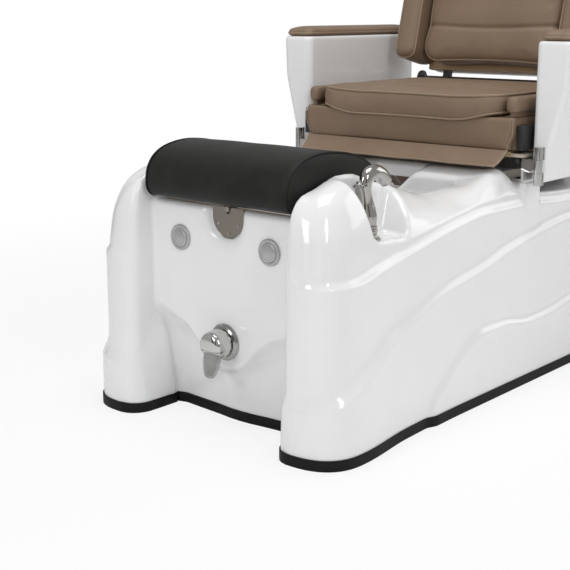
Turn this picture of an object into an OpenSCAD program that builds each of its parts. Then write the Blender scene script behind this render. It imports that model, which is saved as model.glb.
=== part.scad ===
// Pedicure chair: a moulded spa base with two front columns, a foot basin, a lifting footrest,
// a sliding seat with a reclining back and two arms that swing out.
// The origin is on the floor at the middle of the base. The client faces -Y.

/* [Base shell] */
// Length of the base at the floor, front to rear
base_l = 1300; // [1260:10:1380]
// Width of the base at the floor
base_w = 676; // [664:1:690]
// Height of the front shoulders at their crest
shoulder_h = 545; // [535:1:560]
// Height of the upper ledge on the front columns
ledge_h = 350; // [335:1:360]
// Height of the lower ledge on the front columns
low_ledge_h = 108; // [95:1:125]
// How far each ledge stands out from the wall above it
ledge_step = 10; // [6:1:12]
// Height of the hollow above each ledge's edge
cove_h = 24; // [16:1:30]
// Wall thickness of the moulded shell
shell_t = 8; // [6:1:10]
// Gap between the floor and the shell's lower edge
shell_lift = 6; // [4:1:8]
// Height of the platform that carries the seat
platform_h = 458; // [452:1:462]

/* [Front recess] */
// Half the width of the recess between the columns
recess_w = 207; // [203:1:209]
// Distance of the front panel behind the base's front
panel_y = 83; // [78:1:90]
// Height of the front panel's top edge
panel_h = 466; // [462:1:468]
// Depth of the scoop at the floor below the front panel
scoop_d = 50; // [35:1:55]
// Lowest point of the scoop's edge, at the centre
scoop_h = 128; // [115:1:135]
// Depth of the recess that holds the bracket plate
plate_recess_d = 15; // [13:1:16]

/* [Skirting] */
// Height of the rubber skirting
skirt_h = 22; // [16:1:26]
// Thickness of the rubber skirting outside the shell
skirt_t = 3; // [2:0.5:4]

/* [Basin] */
// Half the width of the basin's mouth
basin_w = 205; // [200:1:206]
// Distance of the basin's front wall behind the base's front
basin_front = 118; // [114:1:124]
// Distance of the basin's rear wall behind the base's front
basin_rear = 655; // [645:1:665]
// Height of the basin's floor above the ground
basin_floor = 165; // [150:1:190]
// Wall thickness of the basin tub
tub_t = 6; // [5:0.5:7]

/* [Footrest] */
// Length of the footrest pad
rest_l = 398; // [380:1:400]
// Depth of the footrest pad, front to rear
rest_d = 290; // [270:1:300]
// How far the footrest lifts
rest_lift = 60; // [40:1:70]

/* [Controls] */
// Diameter of a push button's bezel
bezel_d = 55; // [48:1:60]
// Distance of each button from the centre line
button_x = 124; // [110:1:130]
// Height of the buttons
button_z = 391; // [380:1:400]
// Travel of a button
button_travel = 4; // [3:0.5:5]
// Diameter of the mixer's escutcheon
escutcheon_d = 78; // [76:1:92]
// Height of the mixer
mixer_z = 185; // [180:1:195]

/* [Seat] */
// Width of the seat
seat_w = 598; // [570:2:604]
// Height of the seat cushion's crown
seat_h = 684; // [670:1:700]
// Distance of the seat's front panel behind the base's front
seat_front = 703; // [695:1:712]
// Depth of the seat, front to rear
seat_d = 480; // [450:5:500]
// How far the seat slides back from the basin
seat_travel = 120; // [80:5:130]
// Height of the backrest above the seat
back_h = 640; // [560:10:680]
// Lean of the backrest at rest
back_lean = 14; // [8:1:18]

/* [Arms] */
// Distance of each arm's hinge pin outside the base's top wall
hinge_out = 33; // [29:1:37]
// Distance of the hinge pins behind the base's front
hinge_y = 738; // [738:1:750]
// Length of an arm
arm_l = 470; // [420:5:490]
// Height of an arm's top above the floor
arm_h = 815; // [780:5:830]

/* [Hidden] */

// A cut runs past the face that it opens by this much
over = 5;
// Gap between pieces that are bonded or seated
seat_gap = 0.3;
front_at = -base_l / 2;

function mix(a, b, t) = a + (b - a) * t;
function clamp01(t) = max(0, min(1, t));
function ease(t) = let (c = clamp01(t)) c * c * (3 - 2 * c);
function ramp(a, b, v) = ease((v - a) / (b - a));

// Base shell: the outline in plan
front_give_share = 0.6;
column_rx = 73;
column_ry = 85;
// The columns' corners are squarer than an ellipse
corner_share = 0.7;
rear_r = 110;
waist = 12;
waist_end_share = 0.21;
top_w = base_w / 2 - skirt_t - 2 * ledge_step;
front_face = skirt_t + 2 * ledge_step * front_give_share;
hinge_x = top_w + hinge_out;
column_cx = top_w - column_rx;
column_cy = front_face + column_ry;
side_end = base_l - skirt_t - 2 * ledge_step - rear_r;
rear_face = base_l - skirt_t - 2 * ledge_step;
flat_shares = [0, 0.45, 0.8, 1];
corner_steps = 6;
side_steps = 26;
rear_steps = 5;

// The basin and the seat keep their place from the front, so the wall's and the deck's waves do too:
// a longer base grows behind the seat
seat_front_share = 703 / 1300;
wave_l = seat_front / seat_front_share;
function wall_w(y) = top_w - waist * ramp(column_cy, wave_l * waist_end_share, y);
rear_w = wall_w(side_end);
rear_cx = rear_w - rear_r;

// Right half of the wall's outline, from the front's middle to the rear's middle,
// with e as the distance that the wall stands out from the top tier
function half_wall(e) = concat(
    [for (s = flat_shares) [s * column_cx, front_face - front_give_share * e]],
    [for (i = [1:corner_steps - 1])
        let (a = 90 * i / corner_steps)
        [column_cx + (column_rx + e) * pow(sin(a), corner_share),
            column_cy - (column_ry + front_give_share * e) * pow(cos(a), corner_share)]],
    [for (i = [0:side_steps]) let (y = mix(column_cy, side_end, i / side_steps)) [wall_w(y) + e, y]],
    [for (i = [1:rear_steps])
        let (a = 90 * i / rear_steps)
        [rear_cx + (rear_r + e) * cos(a), side_end + (rear_r + e) * sin(a)]],
    [for (s = [0.5, 0]) [s * rear_cx, rear_face + e]]
);

// Heights of the three ledges along the side, as shares of the base's length and the shoulder's height
upper_shares = [
    [0, 0], [0.08, 0], [0.14, 0.022], [0.2, 0.043], [0.26, 0.068], [0.33, 0.1],
    [0.39, 0.121], [0.45, 0.136], [0.56, 0.134], [0.72, 0.11], [1, 0.085]
];
lower_shares = [
    [0, 0], [0.014, 0.01], [0.035, 0.03], [0.065, 0.068], [0.115, 0.13], [0.165, 0.193],
    [0.235, 0.25], [0.335, 0.322], [0.43, 0.358], [0.525, 0.41], [0.64, 0.452], [0.72, 0.473], [1, 0.49]
];
third_shares = [
    [0.262, 0], [0.275, 0.058], [0.32, 0.152], [0.372, 0.24], [0.41, 0.283], [0.436, 0.3],
    [0.5, 0.298], [0.595, 0.27], [0.673, 0.277], [0.742, 0.3], [1, 0.31]
];
third_from_share = 0.265;
third_full_share = 0.29;
edge_share = 0.2;
hollow_share = 0.35;
hollow_give_share = 0.3;

function upper_z(y) = ledge_h + shoulder_h * lookup(y / wave_l, upper_shares);
function lower_z(y) = low_ledge_h + shoulder_h * lookup(y / wave_l, lower_shares);
function third_z(y) = max(shoulder_h * lookup(y / wave_l, third_shares),
    shell_lift + edge_share * cove_h + seat_gap);
function third_on(y) = ramp(wave_l * third_from_share, wave_l * third_full_share, y);

// Rows of the wall at a place y along the base: each row is [height, distance out]
function wall_rows(y) =
    let (u = upper_z(y), c = cove_h, l = min(lower_z(y), u - (1 + 2 * edge_share) * c), t = third_z(y),
        s = ledge_step, low = (2 + third_on(y)) * s, e = edge_share * c, h = hollow_share * c, g = hollow_give_share)
    [
        [shell_lift, low], [t - e, low], [t, low], [t + h, mix(2 * s, low, g)], [t + c, 2 * s],
        [(t + c + l - e) / 2, 2 * s],
        [l - e, 2 * s], [l, 2 * s], [l + h, s + g * s], [l + c, s],
        [(l + c + u - e) / 2, s],
        [u - e, s], [u, s], [u + h, g * s], [u + c, 0]
    ];

// The top surface rises from the wall to this line of crests over the basin's sides and the seat
crest_shares = [
    [0, 0.955], [0.09, 0.957], [0.134, 0.985], [0.173, 1], [0.23, 0.968], [0.3, 0.91], [0.365, 0.872],
    [0.457, 0.868], [0.5, 0.885], [0.54, 0.92], [0.575, 0.92], [0.61, 0.86], [0.63, 0.84], [1, 0.84]
];
crest_low_share = 0.84;
inner_w = 196;
inner_front = 112;
inner_join_share = 0.265;
inner_rear_d = 84;
deck_in_shares = [0.05, 0.11, 0.18, 0.28, 0.42, 0.6, 0.8, 1];
dome_up_shares = [0.12, 0.25, 0.43, 0.62, 0.78, 0.9, 0.975, 1];
deck_up_shares = [0.06, 0.14, 0.24, 0.38, 0.56, 0.76, 0.92, 1];
bump_shares = [0.35, 0.72, 0.95, 1, 0.8, 0.45, 0.15, 0];
bump_h = 38;
dome_end_share = 0.33;
bump_from_share = 0.39;
bump_top_share = 0.53;
bump_to_share = 0.6;

function crest_z(y) =
    let (k = lookup(y / wave_l, crest_shares))
    mix(platform_h, shoulder_h, (k - crest_low_share) / (1 - crest_low_share));

function bump(y) = bump_h * ramp(wave_l * bump_from_share, wave_l * bump_top_share, y)
    * (1 - ramp(wave_l * bump_top_share, wave_l * bump_to_share, y));

n_half = len(half_wall(0));
n_front = len(flat_shares);

// The inner end of the top surface's rows, for the wall point k
function inner_at(k) =
    let (w = half_wall(0)[k], join = wave_l * inner_join_share,
        last = n_front + corner_steps - 1 + floor(side_steps * (join - column_cy) / (side_end - column_cy)),
        q = clamp01((k - n_front + 1) / (last - n_front + 1)))
    w[1] > join
        ? [inner_w * min(1, w[0] / rear_w), min(w[1], rear_face - inner_rear_d)]
        : [inner_w * min(1, w[0] / column_cx), mix(inner_front, half_wall(0)[last][1], q)];

// Heights of the top surface over wall point k, row j
function deck_z(k, j) =
    let (w = half_wall(0)[k], i = inner_at(k), z0 = upper_z(w[1]) + cove_h,
        d = ramp(column_cy, wave_l * dome_end_share, w[1]))
    z0 + (crest_z(i[1]) - z0) * mix(dome_up_shares[j], deck_up_shares[j], d) + bump(w[1]) * bump_shares[j];

// The whole form of the base as rows of rings. t takes the wall's thickness off every face
function form_ring(r, t) =
    let (rows = [for (k = [0:n_half - 1]) wall_rows(half_wall(0)[k][1])],
        half = [for (k = [0:n_half - 1])
            r < len(rows[0])
                ? let (e = rows[k][r][1] - t, p = half_wall(e)[k])
                    [p[0], p[1], r == 0 && t > 0 ? -over : rows[k][r][0] - (r > 12 ? t * (r - 12) / 2 : 0)]
                : let (j = r - len(rows[0]), a = half_wall(-t)[k], b = inner_at(k))
                    [mix(a[0], b[0], deck_in_shares[j]), mix(a[1], b[1], deck_in_shares[j]), deck_z(k, j) - t]])
    concat(half, [for (k = [n_half - 2:-1:1]) [-half[k][0], half[k][1], half[k][2]]]);

n_wall = len(wall_rows(0));
n_rows = n_wall + len(deck_in_shares);

// Joins a stack of closed rings of points into a solid, and bridges its two ends from side to side
module bridge_loft(rings) {
    n = len(rings[0]);
    m = len(rings);
    last = (m - 1) * n;
    sides = [for (r = [0:m - 2], i = [0:n - 1])
        let (a = r * n + i, b = r * n + (i + 1) % n, c = b + n, d = a + n)
        each [[a, d, c], [a, c, b]]];
    low = [for (i = [0:n / 2 - 1])
        let (a = i, b = i + 1, c = (n - i - 1) % n, d = (n - i) % n)
        each concat(b == c ? [] : [[a, b, c]], a == d ? [] : [[a, c, d]])];
    high = [for (f = low) [last + f[2], last + f[1], last + f[0]]];
    polyhedron(points = [for (ring = rings) each ring], faces = concat(sides, low, high));
}

module outer_form() {
    bridge_loft([for (r = [0:n_rows - 1]) form_ring(r, 0)]);
}

module inner_form() {
    rows = [0, 5, 7, 9, 12, 14, 16, 18, 20, 22];
    bridge_loft([for (r = rows) form_ring(r, shell_t)]);
}

// Joins a stack of closed rings, with a point at the middle of each end
module fan_loft(rings) {
    n = len(rings[0]);
    m = len(rings);
    last = (m - 1) * n;
    low_mid = m * n;
    high_mid = low_mid + 1;
    function middle(ring) = [for (a = [0:2]) [for (p = ring) p[a]] * [for (p = ring) 1] / len(ring)];
    sides = [for (r = [0:m - 2], i = [0:n - 1])
        let (a = r * n + i, b = r * n + (i + 1) % n, c = b + n, d = a + n)
        each [[a, d, c], [a, c, b]]];
    low = [for (i = [0:n - 1]) [low_mid, i, (i + 1) % n]];
    high = [for (i = [0:n - 1]) [high_mid, last + (i + 1) % n, last + i]];
    polyhedron(
        points = concat([for (ring = rings) each ring], [middle(rings[0]), middle(rings[m - 1])]),
        faces = concat(sides, low, high)
    );
}

// Front recess: the cutter's plan at the level of the panel, right half from the middle to the front.
// Each point is [x, y, scoop in x, scoop in y, height of the scoop's edge], as shares
recess_flare = 40;
recess_corner = 16;
scoop_side = 10;
scoop_corner_h = 233;
column_scoop_share = 0.3;
scoop_shares = [
    [0, 0.9, 0], [0.15, 0.93, 0.06], [0.28, 1, 0.25], [0.41, 1.05, 0.5], [0.56, 1.1, 0.75],
    [0.7, 1.15, 0.86], [0.84, 1.2, 0.97], [0.93, 1.1, 1]
];
recess_side_shares = [0.94, 0.75, 0.5, 0.3, 0.16];
scoop_low_z = 34;

function recess_half(g) = concat(
    [for (s = scoop_shares)
        [s[0] * (recess_w + g), panel_y + g, 0, s[1] * scoop_d, mix(scoop_h, scoop_corner_h, s[2])]],
    [[recess_w + g - recess_corner * 0.3, panel_y + g - recess_corner * 0.3,
        scoop_side * 0.6, scoop_d, scoop_corner_h]],
    [for (s = recess_side_shares)
        [recess_w + g, s * panel_y, scoop_side, scoop_d * (s - 0.16) / 0.8,
            mix(low_ledge_h, scoop_corner_h, pow(s, 2))]],
    [[recess_w + g + recess_flare * 0.08, panel_y * 0.1, scoop_side * 0.5, 0, low_ledge_h],
        [recess_w + g + recess_flare * 0.35, panel_y * 0.02, 0, 0, low_ledge_h],
        [recess_w + g + recess_flare * 0.8, -panel_y * 0.02, 0, 0, low_ledge_h],
        [recess_w + g + recess_flare * 0.9, -over * 2, 0, 0, low_ledge_h]]
);

// Depth of the scoop, as a share, at a height z under an edge at height top
function scoop_at(z, top) =
    let (u = clamp01((top - z) / (top - scoop_low_z)))
    u <= 0 ? 0 : mix(pow(u, 0.8), sin(90 * min(1, u * 3)), 0.35);

scoop_row_shares = [0, 0.14, 0.3, 0.5, 0.7, 0.84, 0.93, 0.98, 1];
recess_top = 620;

function recess_ring(z_share, g) =
    let (half = [for (p = recess_half(g))
            let (z = z_share <= 1 ? mix(scoop_low_z, p[4], z_share) : recess_top, d = scoop_at(z, p[4]))
            [p[0] + d * p[2], p[1] + d * p[3], z]],
        n = len(half))
    concat(half, [for (i = [n - 1:-1:1]) [-half[i][0], half[i][1], half[i][2]]]);

function dropped(ring, z) = [for (p = ring) [p[0], p[1], z]];

module recess_form(g) {
    rings = concat(
        [dropped(recess_ring(0, g), -2 * over)],
        [for (s = scoop_row_shares) recess_ring(s, g)],
        [recess_ring(2, g)]
    );
    // The rings run anticlockwise from above once their order is turned
    bridge_loft([for (r = rings) [for (i = [0:len(r) - 1]) r[(len(r) - i) % len(r)]]]);
}

// Basin: rounded rectangles stacked from the mouth to the floor.
// Each row is [height share, width share, front set-in, rear set-in, corner radius]
basin_top = 600;
basin_rows = [
    [1, 1, 0, 0, 48], [0.68, 1, 0, 0, 48], [0.56, 0.98, 6, 8, 56], [0.16, 0.98, 20, 22, 60],
    [0.07, 0.94, 34, 34, 66], [0.02, 0.86, 56, 54, 70], [0, 0.76, 84, 82, 66]
];
corner_points = 6;

function round_ring(w, y0, y1, r, z) = [
    for (c = [[w - r, y0 + r, -90], [w - r, y1 - r, 0], [r - w, y1 - r, 90], [r - w, y0 + r, 180]],
        i = [0:corner_points])
    let (a = c[2] + 90 * i / corner_points)
    [c[0] + r * cos(a), c[1] + r * sin(a), z]
];

function basin_ring(row, g) = round_ring(
    basin_w * row[1] + g, basin_front + row[2] - g, basin_rear - row[3] + g, row[4] + g,
    row[0] == 0 ? basin_floor - g : mix(basin_floor, basin_top, row[0])
);

module basin_form(g) {
    for (i = [1:len(basin_rows) - 1])
        hull() fan_loft([basin_ring(basin_rows[i], g), basin_ring(basin_rows[i - 1], g)]);
}

// Niche in the middle of the basin's rear wall, wider at its top
niche_top_w = 116;
niche_low_w = 34;
niche_low = 440;
niche_d = 46;
module niche_form(g) {
    translate([0, basin_rear + niche_d + g, 0])
        rotate([90, 0, 0])
            linear_extrude(niche_d + 3 * tub_t + g)
                niche_outline(g, basin_top);
}
module niche_outline(g, top) {
    slope = (niche_top_w - niche_low_w) / 2 / (panel_h - niche_low + 2 * tub_t);
    polygon([
        [niche_low_w / 2 + g, niche_low - g], [niche_low_w / 2 + g + slope * (top - niche_low), top],
        [-niche_low_w / 2 - g - slope * (top - niche_low), top], [-niche_low_w / 2 - g, niche_low - g]
    ]);
}

module front_frame() {
    translate([0, front_at, 0]) children();
}

module base_cut(g) {
    recess_form(g);
    bay_form(g);
    pocket_form(g);
    plate_recess(g);
}

module basin_hollow(g) {
    basin_form(g);
    niche_form(g);
}

// Bay over the front panel, where the footrest lies between the columns
bay_w = 211;
bay_d = 36;
module bay_form(g) {
    translate([-bay_w - g, -over, panel_h - g])
        cube([2 * (bay_w + g), basin_front + bay_d + over, basin_top]);
}

// Scoop in the right shoulder for the hand sprayer
pocket_x = [250, 283];
pocket_y = [200, 292];
pocket_top = [[250, 180], [228, 366]];
pocket_z = 412;
pocket_r = 22;
pocket_top_r = 34;
module pocket_form(g) {
    hull() {
        for (p = [[pocket_x[0], pocket_y[0]], [pocket_x[1], pocket_y[0]], [pocket_x[1], pocket_y[1]],
            [pocket_x[0], pocket_y[1]]])
            translate([p[0], p[1], pocket_z + pocket_r])
                sphere(r = pocket_r + g, $fn = 20);
        for (p = pocket_top)
            translate([p[0], p[1], basin_top])
                sphere(r = pocket_top_r + g, $fn = 20);
    }
}

// Recess with a round lower end for the stainless bracket plate
plate_w = 86;
plate_low = 403;
plate_margin = 9;
module plate_recess(g) {
    translate([0, panel_y + plate_recess_d + g, 0])
        rotate([90, 0, 0])
            linear_extrude(plate_recess_d + panel_y + 2 * over)
                plate_outline(plate_margin + g, basin_top);
}
module plate_outline(m, top) {
    r = plate_w / 2 + m;
    intersection() {
        union() {
            translate([0, plate_low + plate_w / 2]) circle(r = r, $fn = 48);
            translate([-r, plate_low + plate_w / 2]) square([2 * r, top]);
        }
        translate([-r, plate_low - m]) square([2 * r, top - plate_low + m]);
    }
}

// Holes through the front panel and the flat bosses that carry the arms' hinge brackets
bezel_barrel_r = 21;
bezel_barrel_l = 24;
mixer_body_r = 26;
stem_w = 30;
stem_t = 8;
stem_y = panel_y + plate_recess_d + 2;
stem_low = panel_h - 2.2 * rest_lift;
stem_play = 3;
stem_slot_low = 385;
boss_w = 54;
boss_x = [top_w - boss_w, top_w];
boss_y = [752, 816];
boss_h = 474;

module panel_holes() {
    for (x = [-button_x, button_x])
        translate([x, panel_y, button_z])
            rotate([90, 0, 0])
                cylinder(r = bezel_barrel_r + seat_gap, h = 2 * bezel_barrel_l, center = true, $fn = 40);
    translate([0, panel_y, mixer_z])
        rotate([90, 0, 0])
            cylinder(r = mixer_body_r + seat_gap, h = 2 * bezel_barrel_l, center = true, $fn = 40);
    translate([-stem_w / 2 - stem_play, stem_y - stem_play, stem_slot_low])
        cube([stem_w + 2 * stem_play, stem_t + 2 * stem_play, basin_top]);
    translate([spray_x, spray_y, pocket_z])
        cylinder(r = holder_r + seat_gap, h = holder_seat_h, $fn = 40);
}

module hinge_bosses(grow) {
    for (s = [-1, 1])
        translate([s < 0 ? -boss_x[1] : boss_x[0], boss_y[0], ledge_h])
            cube([boss_x[1] - boss_x[0], boss_y[1] - boss_y[0], boss_h - ledge_h - grow]);
}

module base_shell() {
    color("white") front_frame() difference() {
        union() {
            outer_form();
            intersection() {
                hinge_bosses(0);
                wall_limit();
            }
        }
        difference() {
            inner_form();
            base_cut(shell_t);
        }
        base_cut(0);
        basin_hollow(tub_t + seat_gap);
        panel_holes();
    }
}

// The bosses stay inside the top tier of the side walls
module wall_limit() {
    translate([0, 0, ledge_h])
        linear_extrude(shoulder_h)
            polygon([for (p = form_ring(n_wall - 1, 0)) [p[0], p[1]]]);
}

module basin_tub() {
    color("whitesmoke") front_frame() difference() {
        intersection() {
            basin_hollow(tub_t);
            outer_form();
        }
        basin_hollow(0);
        bay_form(0);
        translate([0, drain_y, 0]) cylinder(r = drain_pipe_r + seat_gap, h = basin_top, $fn = 40);
        translate([-basin_w, jet_y, jet_z])
            rotate([0, 90, 0])
                cylinder(r = jet_cup_r + seat_gap, h = basin_w / 2, center = true, $fn = 40);
    }
}

// Skirting round the foot of the shell
module floor_outline() {
    difference() {
        polygon([for (p = form_ring(0, 0)) [p[0], p[1]]]);
        polygon([for (p = recess_ring(0, 0)) [p[0], p[1]]]);
    }
}

module skirting() {
    color([0.15, 0.15, 0.14]) front_frame() linear_extrude(skirt_h) difference() {
        offset(r = skirt_t, $fn = 24) floor_outline();
        offset(delta = seat_gap) floor_outline();
    }
}

// Welded frame inside the shell, with its levelling feet
rail_w = 40;
rail_h = 40;
rail_in = 65;
rail_x = top_w - rail_in;
rail_z = 30;
rail_front = 170;
rail_rear_gap = 46;
rail_rear = rear_face - rail_rear_gap;
beam_rear_gap = 95;
beam_y = [800, rail_rear - beam_rear_gap];
cross_y = [190, base_l / 2 - rail_w / 2];
beam_h = 30;
foot_in = 35;
foot_y = [200, 720, rail_rear - foot_in];
foot_r = 24;
foot_t = 8;
foot_stud_r = 6;
frame_drop = 4;
beam_top = platform_h - shell_t - frame_drop;

module base_frame() {
    color("dimgray") front_frame() {
        for (s = [-1, 1])
            translate([s * rail_x - rail_w / 2, rail_front, rail_z])
                cube([rail_w, rail_rear - rail_front, rail_h]);
        for (y = concat(cross_y, [rail_rear - rail_w]))
            translate([-rail_x, y, rail_z])
                cube([2 * rail_x, rail_w, rail_h]);
        for (y = beam_y) {
            for (s = [-1, 1])
                translate([s * rail_x - rail_w / 2, y, rail_z])
                    cube([rail_w, rail_w, beam_top - beam_h - rail_z]);
            translate([-rail_x - rail_w / 2, y, beam_top - 2 * beam_h])
                cube([2 * rail_x + rail_w, rail_w, beam_h]);
            translate([-rail_x + rail_w, y, beam_top - beam_h])
                cube([2 * rail_x - 2 * rail_w, rail_w, beam_h]);
        }
    }
}

module levelling_feet() {
    color([0.2, 0.2, 0.2]) front_frame()
        for (p = concat([for (s = [-1, 1], y = foot_y) [s * rail_x, y]], [[0, base_l / 2]]))
            translate([p[0], p[1], 0]) {
                cylinder(r = foot_r, h = foot_t, $fn = 32);
                cylinder(r = foot_stud_r, h = rail_z - seat_gap, $fn = 32);
            }
}

// Stainless bracket plate, its rivets and the screw that locks the footrest's stem
plate_t = 2;
plate_face = panel_y + plate_recess_d - seat_gap;
slot_w = 12;
slot_low = 452;
screw_z = 462;
screw_head_r = 5.6;
screw_shank_r = 3;
screw_head_t = 3;
rivet_r = 3.4;
rivet_x = 27;
rivet_z = 430;
rivet_low_z = 411;

module bracket_plate() {
    color("tan") front_frame() translate([0, plate_face, 0]) rotate([90, 0, 0]) linear_extrude(plate_t)
        difference() {
            plate_outline(0, panel_h);
            translate([0, slot_low + slot_w / 2]) circle(d = slot_w, $fn = 32);
            translate([-slot_w / 2, slot_low + slot_w / 2]) square([slot_w, panel_h - slot_low]);
        }
}

module rivet(x, z) {
    translate([x, plate_face - plate_t - seat_gap, z])
        rotate([90, 0, 0])
            intersection() {
                translate([0, 0, -rivet_r]) sphere(r = rivet_r * 1.5, $fn = 32);
                cylinder(r = rivet_r, h = rivet_r, $fn = 32);
            }
}

module plate_rivets() {
    color("silver") front_frame() {
        rivet(-rivet_x, rivet_z);
        rivet(rivet_x, rivet_z);
        rivet(0, rivet_low_z);
    }
}

module lock_screw() {
    color("gray") front_frame()
        translate([0, stem_y - seat_gap, screw_z])
            rotate([90, 0, 0]) {
                cylinder(r = screw_shank_r, h = stem_y - plate_face + plate_t + screw_head_t, $fn = 32);
                translate([0, 0, stem_y - plate_face + plate_t])
                    cylinder(r = screw_head_r, h = screw_head_t, $fn = 32);
            }
}

// Footrest: D-shaped pad, board and stem. The profile is given as shares of depth and height
rest_h = 113;
rest_y = 50;
rest_z = 473;
board_t = 8;
rest_shares = [
    [0.08, 0], [0.02, 0.1], [0, 0.26], [0.005, 0.45], [0.03, 0.62], [0.08, 0.77], [0.16, 0.89],
    [0.27, 0.965], [0.4, 1], [0.53, 0.985], [0.66, 0.935], [0.79, 0.84], [0.9, 0.71], [0.97, 0.56],
    [1, 0.42], [0.995, 0.32], [0.94, 0.235], [0.5, 0.138], [0.15, 0.06]
];
rest_end_shares = [[0, 0.965], [0.012, 0.985], [0.035, 1], [0.5, 1.004], [0.965, 1], [0.988, 0.985], [1, 0.965]];

function rest_ring(end) = [for (i = [len(rest_shares) - 1:-1:0])
    let (p = rest_shares[i])
    [
        (end[0] - 0.5) * rest_l,
        rest_y + rest_d * (0.5 + (p[0] - 0.5) * end[1]),
        rest_z + rest_h * (0.45 + (p[1] - 0.45) * end[1])
    ]];

module footrest_pad() {
    color([0.16, 0.16, 0.15]) front_frame()
        fan_loft([for (e = rest_end_shares) rest_ring(e)]);
}

// The board follows the pad's flat underside, whose ends are these shares
board_shares = [[0.15, 0.06], [0.94, 0.235]];
board_front_share = 0.165;
board_d_share = 0.76;
board_rise = rest_h * (board_shares[1][1] - board_shares[0][1]);
board_slope = atan(board_rise / (rest_d * (board_shares[1][0] - board_shares[0][0])));
board_y = rest_y + rest_d * board_front_share;
board_z = rest_z + rest_h * board_shares[0][1];
stem_top = board_z - board_t / cos(board_slope) + (stem_y - board_y) * tan(board_slope) - 2 * seat_gap;

module footrest_board() {
    color("peru") front_frame()
        translate([-rest_l / 2 + 2 * board_t, board_y, board_z])
            rotate([board_slope, 0, 0])
                translate([0, 0, -board_t])
                    cube([rest_l - 4 * board_t, rest_d * board_d_share, board_t]);
}

module footrest_stem() {
    color("silver") front_frame()
        translate([-stem_w / 2, stem_y, stem_low])
            cube([stem_w, stem_t, stem_top - stem_low]);
}

// Push buttons: a chrome bezel in the panel and a domed cap that slides in it
bezel_t = button_travel + 1;
cap_r = 20;
cap_fit = 0.1;
cap_dome = 4;
cap_l = 20;

module button_bezel(s) {
    color("silver") front_frame() translate([s * button_x, panel_y - seat_gap, button_z]) rotate([90, 0, 0])
        difference() {
            union() {
                cylinder(r1 = bezel_d / 2, r2 = bezel_d / 2 - bezel_t / 2, h = bezel_t, $fn = 48);
                translate([0, 0, -bezel_barrel_l]) cylinder(r = bezel_barrel_r, h = bezel_barrel_l + over / 10, $fn = 48);
            }
            translate([0, 0, -bezel_barrel_l - over]) cylinder(r = cap_r, h = bezel_barrel_l + 2 * over + bezel_t, $fn = 48);
        }
}

module button_cap(s) {
    color("gainsboro") front_frame() translate([s * button_x, panel_y - bezel_t, button_z]) rotate([90, 0, 0]) {
        translate([0, 0, -cap_l]) cylinder(r = cap_r - cap_fit, h = cap_l, $fn = 48);
        intersection() {
            translate([0, 0, cap_dome - dome_r]) sphere(r = dome_r, $fn = 96);
            translate([0, 0, -over / 10]) cylinder(r = cap_r - cap_fit, h = 2 * cap_dome, $fn = 48);
        }
    }
}
dome_r = (cap_r * cap_r + cap_dome * cap_dome) / (2 * cap_dome);

// Mixer: escutcheon, valve body, turning hub and tilting lever
escutcheon_t = 9;
mixer_neck_r = 24;
mixer_neck_l = 18;
mixer_body_l = 30;
hub_r = 31;
hub_l = 34;
hub_axis_l = 26;
lever_w = 38;
lever_l = 52;
lever_t = 7;
lever_pin_r = 4;
lever_fit = 0.05;

module mixer_escutcheon() {
    color("silver") front_frame() translate([0, panel_y - seat_gap, mixer_z]) rotate([90, 0, 0])
        rotate_extrude($fn = 64)
            polygon([
                [mixer_body_r, 0], [escutcheon_d / 2, 0], [escutcheon_d / 2, escutcheon_t * 0.3],
                [escutcheon_d / 2 - escutcheon_t * 0.4, escutcheon_t * 0.75],
                [mixer_body_r + escutcheon_t * 0.6, escutcheon_t], [mixer_body_r, escutcheon_t]
            ]);
}

module mixer_valve() {
    color("goldenrod") front_frame() translate([0, panel_y, mixer_z]) rotate([90, 0, 0]) {
        translate([0, 0, -bezel_barrel_l]) cylinder(r = mixer_body_r - seat_gap, h = bezel_barrel_l + escutcheon_t, $fn = 48);
        cylinder(r = mixer_neck_r, h = mixer_neck_l, $fn = 48);
    }
}

// The hub's shape as a turned profile: it covers the neck and ends in a dome
module mixer_hub() {
    color("silver") front_frame() translate([0, panel_y - escutcheon_t - 2 * seat_gap, mixer_z]) rotate([90, 0, 0])
        difference() {
            rotate_extrude($fn = 64)
                polygon([
                    [0, 0], [hub_r * 0.9, 0], [hub_r, hub_l * 0.12], [hub_r, hub_l * 0.55],
                    [hub_r * 0.96, hub_l * 0.75], [hub_r * 0.86, hub_l * 0.95],
                    [hub_r * 0.68, hub_l * 1.12], [hub_r * 0.4, hub_l * 1.24], [0, hub_l * 1.3]
                ]);
            translate([0, 0, -over])
                cylinder(r = mixer_neck_r + cap_fit, h = over + mixer_neck_l - escutcheon_t + seat_gap, $fn = 48);
            translate([-lever_w / 2, -hub_r * 1.2, hub_axis_l - lever_pin_r * 1.6])
                cube([lever_w, hub_r * 1.2, hub_l * 2]);
            translate([0, -hub_r * 0.45, hub_axis_l + lever_pin_r])
                rotate([0, 90, 0])
                    cylinder(r = lever_pin_r + lever_fit, h = 2 * hub_r, center = true, $fn = 32);
        }
}

lever_y = panel_y - escutcheon_t - 2 * seat_gap - hub_axis_l - lever_pin_r;
lever_pivot_z = mixer_z - hub_r * 0.45;
lever_shares = [
    [0.9, 0.12, 0.9], [0.99, -0.1, 1.05], [0.95, -0.3, 1], [0.86, -0.55, 0.8], [0.72, -0.8, 0.6],
    [0.55, -0.95, 0.55], [0.3, -1.02, 0.5]
];

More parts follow.
